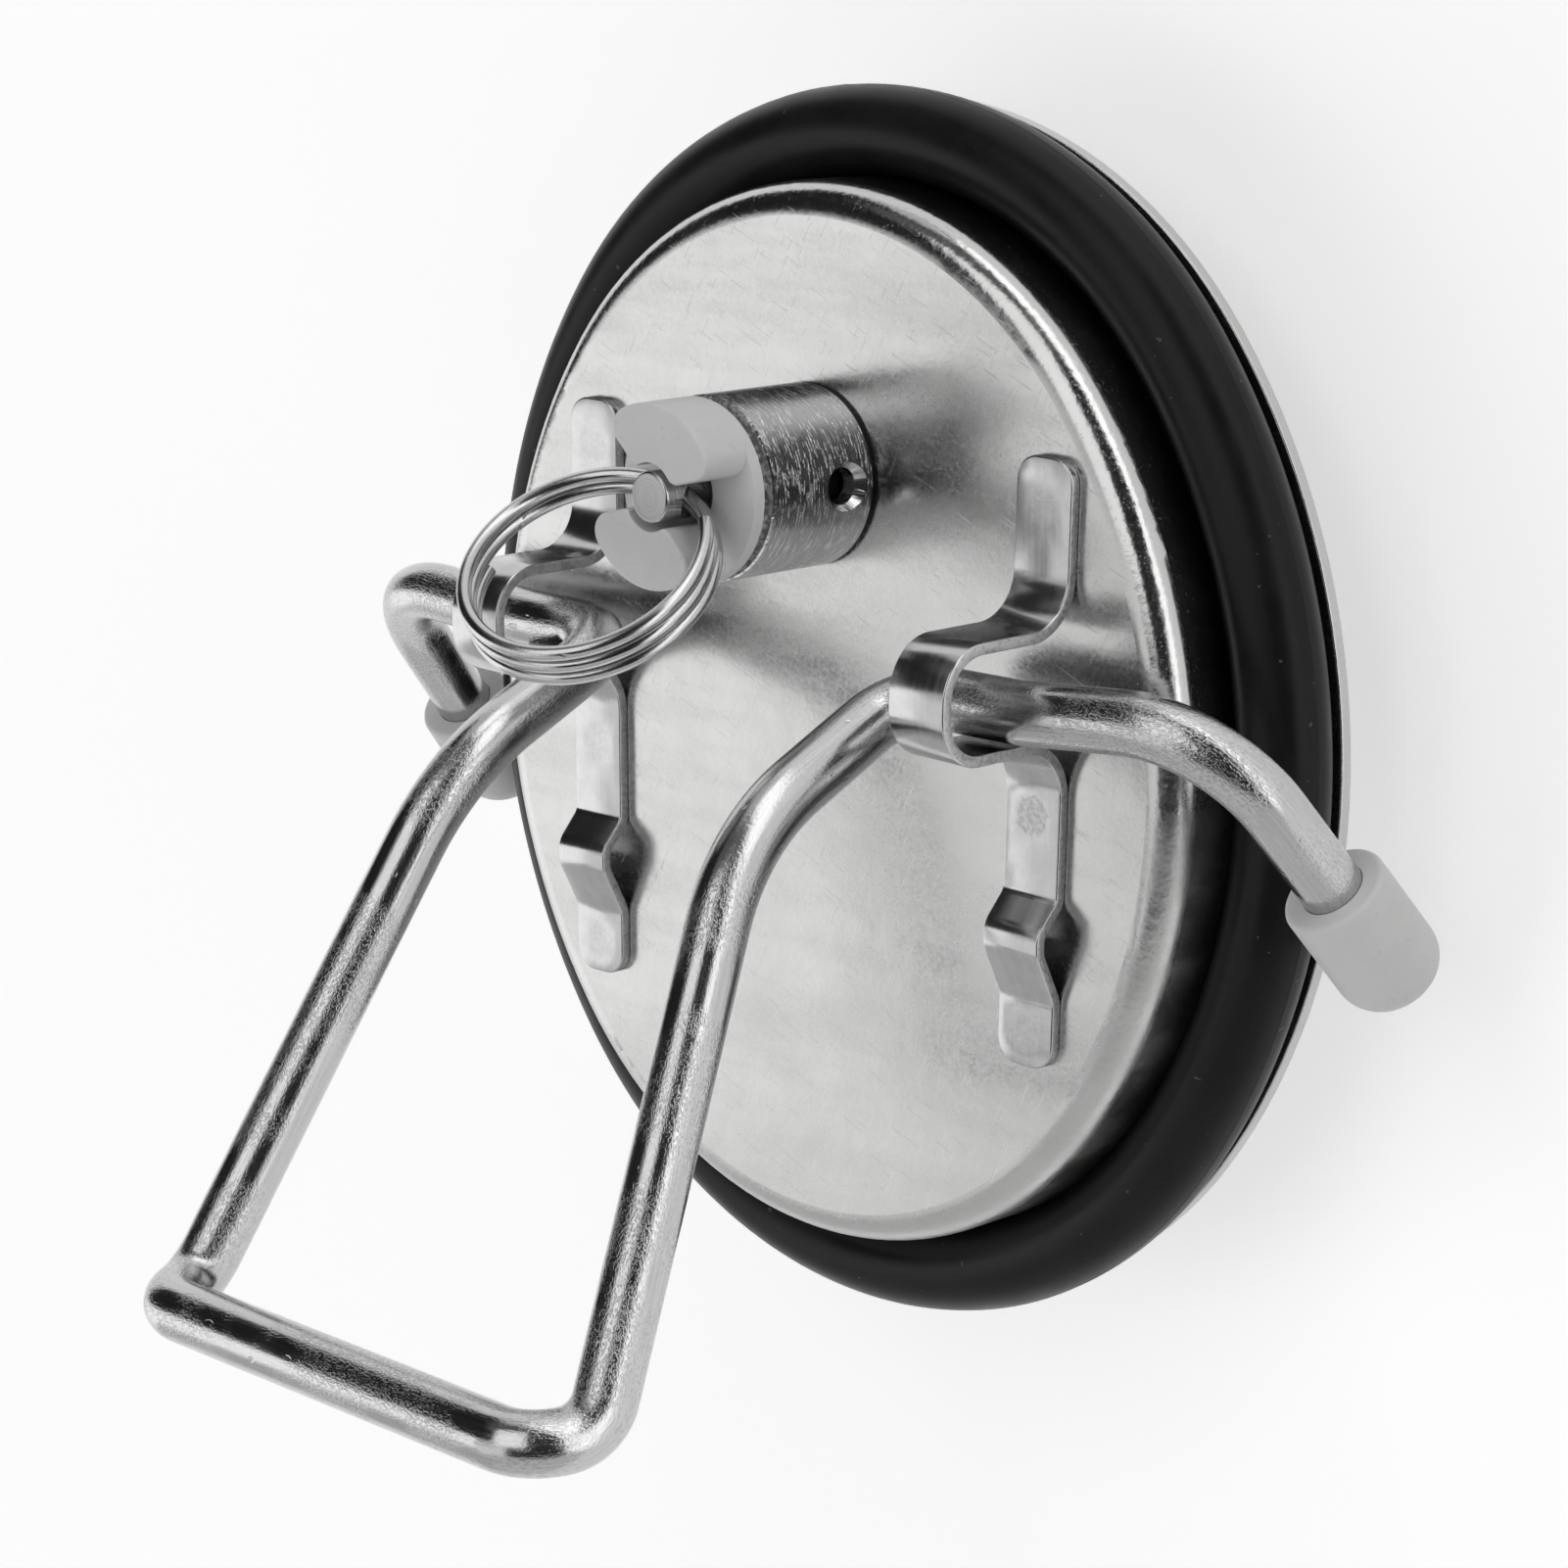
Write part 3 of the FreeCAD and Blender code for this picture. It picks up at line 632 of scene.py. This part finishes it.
def moulded_plastic(name, values, roughness, softness):
    """Matte moulded plastic: eggshell surface with faint clouds and rubbed spots."""
    material, sheet, shader = new_material(name)
    where = sheet.add("ShaderNodeTexCoord").outputs["Object"]
    cloud = sheet.noise(where, 220.0, 3.0, 0.55)
    fine = sheet.noise(where, 3000.0)
    specks = sheet.span(sheet.noise(where, 1300.0, 0.0), 0.76, 0.80)
    tone = sheet.math("SUBTRACT", sheet.spread(cloud, 0.40, 0.60), sheet.times(specks, 0.25))
    sheet.feed(shader, {
        "Base Color": sheet.shade(tone, values, 0.88, 1.12),
        "Roughness": sheet.spread(cloud, roughness - 0.05, roughness + 0.05),
        "Specular IOR Level": 0.35,
        "Subsurface Weight": softness,
        "Subsurface Scale": 1.0 * MM,
        "Normal": sheet.bumps((cloud, 0.02 * MM), (fine, 0.003 * MM)),
    })
    return material


def dress(material, *nodes):
    """Gives CAD nodes one material in all their slots."""
    for node in nodes:
        for item in frame["nodes"][node].material_slots:
            item.material = material


def geometry_tree(name, sizes):
    """Sheet of a geometry tree with a geometry, named sizes and a material as its inputs."""
    tree = bpy.data.node_groups.new(name, "GeometryNodeTree")
    tree.interface.new_socket(name="Geometry", in_out="OUTPUT", socket_type="NodeSocketGeometry")
    inputs = {"Geometry": "NodeSocketGeometry", **sizes, "Material": "NodeSocketMaterial"}
    for label, kind in inputs.items():
        tree.interface.new_socket(name=label, in_out="INPUT", socket_type=kind)
    sheet = NodeSheet(tree)
    return sheet, sheet.add("NodeGroupInput").outputs


def captured(sheet, geometry, kind, value):
    """Node whose geometry carries a value with it, and the value that it carries."""
    node = sheet.add("GeometryNodeCaptureAttribute", domain="POINT")
    node.capture_items.new(kind, "Kept")
    sheet.feed(node, {"Geometry": geometry, "Kept": value})
    return node, node.outputs["Kept"]


def sweep(sheet, curve, thickness, given, flash=None):
    """Ends a tree with a round wire along a curve, whose place along and round it is kept."""
    along = sheet.add("GeometryNodeSplineParameter").outputs["Length"]
    curve, length = captured(sheet, curve, "FLOAT", along)
    circle = sheet.add("GeometryNodeCurvePrimitiveCircle", {
        "Resolution": given["Sides"], "Radius": sheet.times(thickness, 0.5)}, mode="RADIUS")
    profile, around = captured(sheet, circle, "VECTOR", sheet.add("GeometryNodeInputPosition"))
    shape = sheet.add("GeometryNodeCurveToMesh", {
        "Curve": curve, "Profile Curve": profile, "Fill Caps": True})
    sideways = sheet.parts(around)
    shape = sheet.add("GeometryNodeStoreNamedAttribute", {
        "Geometry": shape, "Name": WIRE_PLACE}, data_type="FLOAT_VECTOR", domain="POINT")
    sheet.feed(shape, {"Value": sheet.joined(sideways[0], sideways[1], length)})
    if flash:
        shape = flash(sheet, shape, around, length, given)
    shape = sheet.add("GeometryNodeSetShadeSmooth", {"Geometry": shape})
    shape = sheet.add("GeometryNodeRealizeInstances", {"Geometry": shape})
    shape = sheet.add("GeometryNodeSetMaterial", {"Geometry": shape, "Material": given["Material"]})
    sheet.add("NodeGroupOutput", {0: shape})
    return sheet.tree


def bent_wire_tree():
    """Tree that rounds a line of corners, each with its own radius, and sweeps a wire along it."""
    sheet, given = geometry_tree("bent_wire_sweep", {
        "Wire diameter": NUMBER, "Arc points": COUNT, "Sides": COUNT})
    line = sheet.add("GeometryNodeMeshToCurve", {"Mesh": given["Geometry"]})
    bend = sheet.add("GeometryNodeInputNamedAttribute", {"Name": BEND_RADIUS}, data_type="FLOAT")
    rounded = sheet.add("GeometryNodeFilletCurve", mode="POLY")
    sheet.feed(rounded, {"Curve": line, "Count": given["Arc points"], "Radius": bend})
    return sweep(sheet, rounded, given["Wire diameter"], given)


def wound_wire_tree():
    """Tree that winds a helix round Z from z = 0 up and sweeps a wire along it."""
    sheet, given = geometry_tree("wound_wire_sweep", {
        "Mean radius": NUMBER, "Pitch": NUMBER, "Turns": NUMBER, "Wire diameter": NUMBER,
        "Points per turn": COUNT, "Sides": COUNT})
    steps = sheet.times(given["Turns"], given["Points per turn"])
    line = sheet.add("GeometryNodeMeshLine", {"Count": sheet.plus(steps, 1.0)},
                     mode="OFFSET", count_mode="TOTAL")
    share = sheet.math("DIVIDE", sheet.add("GeometryNodeInputIndex"), steps)
    turned = sheet.times(share, given["Turns"])
    angle = sheet.times(turned, 2 * pi)
    place = sheet.joined(sheet.times(given["Mean radius"], sheet.math("COSINE", angle)),
                         sheet.times(given["Mean radius"], sheet.math("SINE", angle)),
                         sheet.times(given["Pitch"], turned))
    moved = sheet.add("GeometryNodeSetPosition", {"Geometry": line, "Position": place})
    helix = sheet.add("GeometryNodeMeshToCurve", {"Mesh": moved})
    return sweep(sheet, helix, given["Wire diameter"], given)


def flash_line(sheet, shape, around, length, given):
    """Raised, slightly broken moulding line along the outer side of a swept ring."""
    sideways = sheet.parts(around)
    angle = sheet.math("ARCTAN2", sideways[1], sideways[0])
    away = sheet.math("ABSOLUTE", sheet.math("SUBTRACT", angle, given["Flash angle"]))
    reach = sheet.times(away, sheet.times(given["Section"], 0.5))
    ridge = sheet.span(reach, given["Flash width"], 0.0)
    broken = sheet.noise(sheet.joined(0.0, 0.0, length), 700.0, 2.0, 0.6)
    height = sheet.times(sheet.span(broken, 0.35, 0.6, 0.35, 1.0), given["Flash height"])
    outwards = sheet.add("GeometryNodeInputNormal")
    push = sheet.add("ShaderNodeVectorMath", {0: outwards, "Scale": sheet.times(ridge, height)},
                     operation="SCALE")
    return sheet.add("GeometryNodeSetPosition", {"Geometry": shape, "Offset": push})


def moulded_ring_tree():
    """Tree that sweeps the rubber cord along the closed oval and adds its moulding line."""
    sheet, given = geometry_tree("moulded_ring_sweep", {
        "Section": NUMBER, "Flash angle": NUMBER, "Flash height": NUMBER, "Flash width": NUMBER,
        "Sides": COUNT})
    line = sheet.add("GeometryNodeMeshToCurve", {"Mesh": given["Geometry"]})
    return sweep(sheet, line, given["Section"], given, flash_line)


def placed_object(name, data):
    """New object of a mesh or camera, in the scene."""
    item = bpy.data.objects.new(name, data)
    bpy.context.scene.collection.objects.link(item)
    return item


def grown_mesh(name, tree, values, start_mesh=None):
    """Plain mesh object of what a tree makes from its inputs, set by the sockets' identifiers."""
    start = placed_object(name + "_start", start_mesh or bpy.data.meshes.new(name + "_start"))
    modifier = start.modifiers.new("grow", "NODES")
    modifier.node_group = tree
    for item in tree.interface.items_tree:
        if item.in_out == "INPUT" and item.name in values:
            modifier[item.identifier] = values[item.name]
    bpy.context.view_layer.update()
    graph = bpy.context.evaluated_depsgraph_get()
    mesh = bpy.data.meshes.new_from_object(start.evaluated_get(graph), depsgraph=graph)
    start.modifiers.remove(modifier)
    bpy.data.objects.remove(start)
    if len(mesh.polygons) == 0:
        raise RuntimeError(name + " came out empty")
    mesh.name = name
    return placed_object(name, mesh)


def wound_piece(name, wire, mean_radius, pitch, points_per_turn, sides, material):
    """Piece of a wire wound round Z, with the diameter and turns of its settings."""
    return grown_mesh(name, wound_wire_tree(), {
        "Mean radius": mean_radius,
        "Pitch": pitch,
        "Turns": wire.turns,
        "Wire diameter": wire.wire_diameter,
        "Points per turn": points_per_turn,
        "Sides": sides,
        "Material": material,
    })


def settle(piece, place=None):
    """Turns a mesh to its place, points its faces outwards and keeps its cut ends crisp."""
    shape = bmesh.new()
    shape.from_mesh(piece.data)
    bmesh.ops.remove_doubles(shape, verts=shape.verts, dist=SAME_PLACE)
    if place:
        bmesh.ops.transform(shape, matrix=place, verts=shape.verts)
    bmesh.ops.recalc_face_normals(shape, faces=shape.faces)
    shape.to_mesh(piece.data)
    shape.free()
    piece.data.set_sharp_from_angle(angle=CUT_ANGLE)


def eased_copy(node, clips):
    """Merged copy of a clip with its sharp edges rounded over and its weld prints made shallower."""
    shape = bmesh.new()
    shape.from_mesh(frame["nodes"][node].data)
    bmesh.ops.remove_doubles(shape, verts=shape.verts, dist=SAME_PLACE)
    for vertex in shape.verts:
        below = clips.top - vertex.co.z
        if SAME_PLACE < below < PRINT_DEPTH:
            vertex.co.z = clips.top - below * clips.weld_share
    bmesh.ops.dissolve_limit(shape, angle_limit=FLAT_ANGLE, verts=shape.verts, edges=shape.edges)
    sharp = [edge for edge in shape.edges
             if len(edge.link_faces) == 2 and edge.calc_face_angle() > CUT_ANGLE]
    bmesh.ops.bevel(shape, geom=sharp, offset=clips.ease, segments=3, profile=0.5, affect="EDGES",
                    clamp_overlap=True)
    bmesh.ops.triangulate(shape, faces=[face for face in shape.faces if len(face.verts) > 4])
    bmesh.ops.recalc_face_normals(shape, faces=shape.faces)
    mesh = bpy.data.meshes.new(node + "_bright")
    shape.to_mesh(mesh)
    shape.free()
    mesh.shade_smooth()
    mesh.set_sharp_from_angle(angle=CREASE_ANGLE)
    return placed_object(node + "_bright", mesh)


def corner_line(name, corners):
    """Open line through corners, with the bend radius kept at each."""
    points, radii = zip(*corners)
    mesh = bpy.data.meshes.new(name)
    mesh.from_pydata(points, [(index, index + 1) for index in range(len(points) - 1)], [])
    mesh.attributes.new(BEND_RADIUS, "FLOAT", "POINT").data.foreach_set("value", radii)
    return mesh


def bail_corners(sizes):
    """Corners of the bail's middle line, from its left end to its right, each with its bend radius."""
    elbow_y = sizes.pivot_y - sizes.rise_length * cos(sizes.rise_angle)
    elbow_z = sizes.pivot_height + sizes.rise_length * sin(sizes.rise_angle)
    onwards = Vector((0.0, -cos(sizes.arm_angle), sin(sizes.arm_angle)))
    upwards = Vector((0.0, sin(sizes.arm_angle), cos(sizes.arm_angle)))
    arm_end = Vector((sizes.arm_end_x, elbow_y, elbow_z)) + onwards * sizes.arm_length
    bar_end = arm_end + onwards * sizes.bar_step_on + upwards * sizes.bar_step_up
    bar_end.x -= sizes.bar_step_in
    knee = Vector((sizes.outer_x, sizes.pivot_y + sizes.outer_kink, sizes.pivot_height))
    along = Vector((sizes.leg_splay, -cos(sizes.leg_angle), -sin(sizes.leg_angle))).normalized()
    right_half = [
        (knee + along * sizes.leg_length, 0.0),
        (knee, sizes.knee_radius),
        (Vector((sizes.straight_x, sizes.pivot_y, sizes.pivot_height)), sizes.lean_radius),
        (Vector((sizes.inner_x, sizes.pivot_y, sizes.pivot_height)), sizes.inner_radius),
        (Vector((sizes.inner_x, elbow_y, elbow_z)), sizes.elbow_radius),
        (arm_end, sizes.arm_end_radius),
        (bar_end, sizes.bar_end_radius),
    ]
    left_half = [(Vector((-point.x, point.y, point.z)), radius) for point, radius in right_half]
    return left_half + right_half[::-1]


def oval_line(name, sizes, points_per_arc):
    """Closed oval of four tangent arcs, long along Y."""
    reach = sizes.half_length - sizes.end_radius
    side = (reach ** 2 + sizes.half_width ** 2 - sizes.end_radius ** 2)
    side = side / (2 * (sizes.half_width - sizes.end_radius))
    shift = side - sizes.half_width
    join = atan2(reach, shift)
    arcs = (
        (side, -shift, 0.0, -join, join),
        (sizes.end_radius, 0.0, reach, join, pi - join),
        (side, shift, 0.0, pi - join, pi + join),
        (sizes.end_radius, 0.0, -reach, pi + join, 2 * pi - join),
    )
    points = []
    for radius, x, y, start, end in arcs:
        for step in range(points_per_arc):
            angle = start + (end - start) * step / points_per_arc
            points.append((x + radius * cos(angle), y + radius * sin(angle), sizes.height))
    count = len(points)
    mesh = bpy.data.meshes.new(name)
    mesh.from_pydata(points, [(index, (index + 1) % count) for index in range(count)], [])
    return mesh


def joint_named(name):
    return next(joint for joint in frame["joints"] if joint["name"] == name)


class KEGLID_OT_steel(Operator):
    """Give the pressed shell and the turned valve parts their steel"""

    bl_idname = "keglid.steel"
    bl_label = "Steel parts"

    def execute(self, context):
        finishes = context.scene.keg_finishes
        dress(pressed_steel(finishes), "lid_shell")
        dress(turned_steel(finishes), "valve_boss", "valve_body", "guide_washer", "valve_pin", "poppet")
        return {"FINISHED"}


class KEGLID_OT_plastic(Operator):
    """Give the feet, the cap and the small seals their plastic and rubber"""

    bl_idname = "keglid.plastic"
    bl_label = "Plastic and seals"

    def execute(self, context):
        finishes = context.scene.keg_finishes
        feet = moulded_plastic("foot_plastic_soft", finishes.foot_colour, roughness=0.55, softness=0.10)
        cap = moulded_plastic("cap_plastic_matte", finishes.cap_colour, roughness=0.48, softness=0.06)
        dress(feet, "foot_left", "foot_right")
        dress(cap, "valve_cap")
        dress(black_rubber(finishes), "valve_gasket", "poppet_seal")
        return {"FINISHED"}


class KEGLID_OT_gasket(Operator):
    """Sweep the lid gasket with its moulding line"""

    bl_idname = "keglid.gasket"
    bl_label = "Lid gasket"

    def execute(self, context):
        sizes = context.scene.keg_gasket
        piece = grown_mesh("gasket_moulded", moulded_ring_tree(), {
            "Section": sizes.section,
            "Flash angle": sizes.flash_angle,
            "Flash height": sizes.flash_height,
            "Flash width": sizes.flash_width,
            "Sides": 120,
            "Material": black_rubber(context.scene.keg_finishes),
        }, oval_line("gasket_line", sizes, points_per_arc=60))
        settle(piece)
        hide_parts("lid_gasket")
        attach(piece, "lid")
        return {"FINISHED"}


class KEGLID_OT_clips(Operator):
    """Round over the sheared edges of the two clips and ease their weld prints"""

    bl_idname = "keglid.clips"
    bl_label = "Bail clips"

    def execute(self, context):
        clips = context.scene.keg_clips
        strip = clip_steel(context.scene.keg_finishes, clips)
        for node in ("clip_left", "clip_right"):
            piece = eased_copy(node, clips)
            piece.data.materials.append(strip)
            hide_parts(node)
            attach(piece, "lid")
        return {"FINISHED"}


class KEGLID_OT_bail(Operator):
    """Bend the bail wire along its corners"""

    bl_idname = "keglid.bail"
    bl_label = "Bail wire"

    def execute(self, context):
        sizes = context.scene.keg_bail
        piece = grown_mesh("bail_wire_drawn", bent_wire_tree(), {
            "Wire diameter": sizes.wire_diameter,
            "Arc points": 20,
            "Sides": 56,
            "Material": drawn_wire("bail_wire_bright", context.scene.keg_finishes, size=1.0, pitting=0.017),
        }, corner_line("bail_line", bail_corners(sizes)))
        pivot = Vector((0.0, sizes.pivot_y, sizes.pivot_height))
        lean = Matrix.Rotation(-sizes.tilt, 4, "Y")
        settle(piece, Matrix.Translation(pivot) @ lean @ Matrix.Translation(-pivot))
        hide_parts("bail_wire")
        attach(piece, "bail")
        return {"FINISHED"}


class KEGLID_OT_ring(Operator):
    """Wind the split pull ring and hang it in the pin"""

    bl_idname = "keglid.ring"
    bl_label = "Pull ring"

    def execute(self, context):
        sizes = context.scene.keg_ring
        finishes = context.scene.keg_finishes
        pitch = sizes.wire_diameter + sizes.turn_gap
        mean_radius = (sizes.outer_diameter - sizes.wire_diameter) / 2
        bright = drawn_wire("ring_wire_bright", finishes, size=0.5, pitting=0.003)
        piece = wound_piece("pull_ring_wound", sizes, mean_radius, pitch,
                            points_per_turn=90, sides=28, material=bright)
        turns_to_hole = 1 - sizes.end_angle / (2 * pi)
        place = (
            Matrix.Translation((0.0, finishes.valve_y, sizes.hole_height))
            @ Matrix.Rotation(sizes.turned, 4, "Z")
            @ Matrix.Rotation(pi / 2 + sizes.droop, 4, "X")
            @ Matrix.Translation((0.0, mean_radius, 0.0))
            @ Matrix.Rotation(sizes.end_angle - pi / 2, 4, "Z")
            @ Matrix.Translation((0.0, 0.0, -pitch * (turns_to_hole + 0.5)))
        )
        settle(piece, place)
        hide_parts("pull_ring")
        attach(piece, "ring")
        return {"FINISHED"}


class KEGLID_OT_spring(Operator):
    """Wind the relief spring between the poppet and the guide washer"""

    bl_idname = "keglid.spring"
    bl_label = "Relief spring"

    def execute(self, context):
        sizes = context.scene.keg_spring
        finishes = context.scene.keg_finishes
        low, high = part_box("valve_spring")
        foot = low.z + sizes.wire_diameter / 2
        head = high.z - sizes.wire_diameter / 2
        plain = drawn_wire("spring_wire_plain", finishes, size=0.4, pitting=0.002)
        piece = wound_piece("relief_spring", sizes, sizes.mean_diameter / 2, (head - foot) / sizes.turns,
                            points_per_turn=48, sides=20, material=plain)
        settle(piece, Matrix.Translation((0.0, finishes.valve_y, foot)))
        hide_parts("valve_spring")
        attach(piece, "lid")
        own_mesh(piece)
        return {"FINISHED"}


def studio_direction(right_degrees, up_degrees):
    """Direction in the lid's frame of a point so many degrees right of the camera and above it."""
    right = radians(right_degrees)
    up = radians(up_degrees)
    level = CAMERA_RIGHT * sin(right) + CAMERA_BACK * cos(right)
    return (level * cos(up) + CAMERA_UP * sin(up)).normalized()


def card_mask(sheet, direction, right, up, half_width, half_height, edge):
    """Share of one studio card in a direction, as of a flat card that faces the lid."""
    centre = studio_direction(right, up)
    sideways = studio_direction(right + 90, 0)
    upwards = centre.cross(sideways) * -1
    ahead = sheet.vector_math("DOT_PRODUCT", direction, centre)
    mask = sheet.math("GREATER_THAN", ahead, 0.05)
    for axis, half in ((sideways, half_width), (upwards, half_height)):
        offset = sheet.math("DIVIDE", sheet.vector_math("DOT_PRODUCT", direction, axis), ahead)
        away = sheet.math("ARCTANGENT", sheet.math("ABSOLUTE", offset))
        inside = sheet.span(away, radians(half + edge / 2), radians(half - edge / 2))
        mask = sheet.times(mask, inside)
    return mask


def studio_world(light):
    """World of soft cards round the lid, plain white where the camera looks at it."""
    world = bpy.data.worlds.new("studio")
    sheet = cleared_sheet(world)
    direction = sheet.add("ShaderNodeTexCoord").outputs["Generated"]
    level = STUDIO_BASE
    for *place, brightness in STUDIO_CARDS.values():
        level = sheet.mix(card_mask(sheet, direction, *place), level, brightness)
    seen = sheet.add("ShaderNodeLightPath").outputs["Is Camera Ray"]
    background = sheet.add("ShaderNodeBackground", {
        "Color": WHITE, "Strength": sheet.mix(seen, sheet.times(level, light), 1.0)})
    sheet.add("ShaderNodeOutputWorld", {"Surface": background})
    return world


def floor_material(stage):
    """Pale matte floor that glows a little where it is seen, and can be looked through from below."""
    material, sheet, shader = new_material("pale_floor")
    where = sheet.add("ShaderNodeTexCoord").outputs["Object"]
    cloud = sheet.spread(sheet.noise(where, 3.0))
    rays = sheet.add("ShaderNodeLightPath").outputs
    mirrored = sheet.math("MAXIMUM", rays["Is Glossy Ray"], rays["Is Transmission Ray"])
    seen = sheet.math("MAXIMUM", rays["Is Camera Ray"], mirrored)
    sheet.feed(shader, {
        "Base Color": sheet.shade(cloud, stage.floor_colour, 0.99, 1.01),
        "Roughness": 0.9,
        "Specular IOR Level": 0.0,
        "Emission Color": WHITE,
        "Emission Strength": sheet.times(seen, stage.floor_glow),
    })
    either = sheet.add("ShaderNodeMixShader", {
        0: sheet.add("ShaderNodeNewGeometry").outputs["Backfacing"],
        1: shader,
        2: sheet.add("ShaderNodeBsdfTransparent"),
    })
    output = next(node for node in sheet.tree.nodes if node.type == "OUTPUT_MATERIAL")
    sheet.feed(output, {"Surface": either})
    return material


def lowest_reach():
    """Lowest height that the bail's feet come to over the swing of its pivot."""
    pivot_y, pivot_z = joint_named("bail_pivot")["pos_m"][1:3]
    reach = 0.0
    for node in ("foot_left", "foot_right"):
        for vertex in frame["nodes"][node].data.vertices:
            reach = max(reach, hypot(vertex.co.y - pivot_y, vertex.co.z - pivot_z))
    return pivot_z - reach


class KEGLID_OT_stage(Operator):
    """Set up floor, light and camera"""

    bl_idname = "keglid.stage"
    bl_label = "Stage"

    def execute(self, context):
        stage = context.scene.keg_stage
        half = stage.floor_size / 2
        height = lowest_reach() - FLOOR_GAP
        mesh = bpy.data.meshes.new("floor")
        corners = [(-half, -half, height), (half, -half, height), (half, half, height), (-half, half, height)]
        mesh.from_pydata(corners, [], [(0, 1, 2, 3)])
        mesh.materials.append(floor_material(stage))
        floor = placed_object("floor", mesh)
        context.scene.world = studio_world(stage.light)
        context.scene.view_settings.view_transform = "Standard"
        data = bpy.data.cameras.new("photo_camera")
        data.sensor_width = SENSOR_WIDTH
        data.lens = data.sensor_width * FOCAL_PIXELS / IMAGE_WIDTH
        data.clip_start, data.clip_end = CAMERA_REACH
        camera = placed_object("photo_camera", data)
        turn = Matrix((CAMERA_RIGHT, CAMERA_UP, CAMERA_BACK)).transposed().to_4x4()
        camera.matrix_world = Matrix.Translation(CAMERA_PLACE) @ turn
        context.scene.camera = camera
        return {"FINISHED"}


OPERATORS = (
    KEGLID_OT_steel,
    KEGLID_OT_plastic,
    KEGLID_OT_gasket,
    KEGLID_OT_clips,
    KEGLID_OT_bail,
    KEGLID_OT_ring,
    KEGLID_OT_spring,
    KEGLID_OT_stage,
)


class KEGLID_PT_panel(Panel):
    """Steps that build the keg lid, and their settings"""

    bl_idname = "KEGLID_PT_panel"
    bl_label = "Keg lid"
    bl_space_type = "VIEW_3D"
    bl_region_type = "UI"
    bl_category = "Keg lid"

    def draw(self, context):
        for operator in OPERATORS:
            self.layout.operator(operator.bl_idname)
        for name, group in SETTING_GROUPS:
            box = self.layout.box()
            box.label(text=group.__doc__)
            for label in group.__annotations__:
                box.prop(getattr(context.scene, name), label)


def register():
    for name, group in SETTING_GROUPS:
        bpy.utils.register_class(group)
        setattr(bpy.types.Scene, name, PointerProperty(type=group))
    for item in OPERATORS + (KEGLID_PT_panel,):
        bpy.utils.register_class(item)


def unregister():
    for item in (KEGLID_PT_panel,) + OPERATORS[::-1]:
        bpy.utils.unregister_class(item)
    for name, group in SETTING_GROUPS[::-1]:
        delattr(bpy.types.Scene, name)
        bpy.utils.unregister_class(group)


def main():
    register()
    bpy.ops.keglid.stage()
    bpy.ops.keglid.steel()
    bpy.ops.keglid.plastic()
    bpy.ops.keglid.gasket()
    bpy.ops.keglid.clips()
    bpy.ops.keglid.bail()
    bpy.ops.keglid.ring()
    bpy.ops.keglid.spring()


if __name__ == "__main__":
    main()
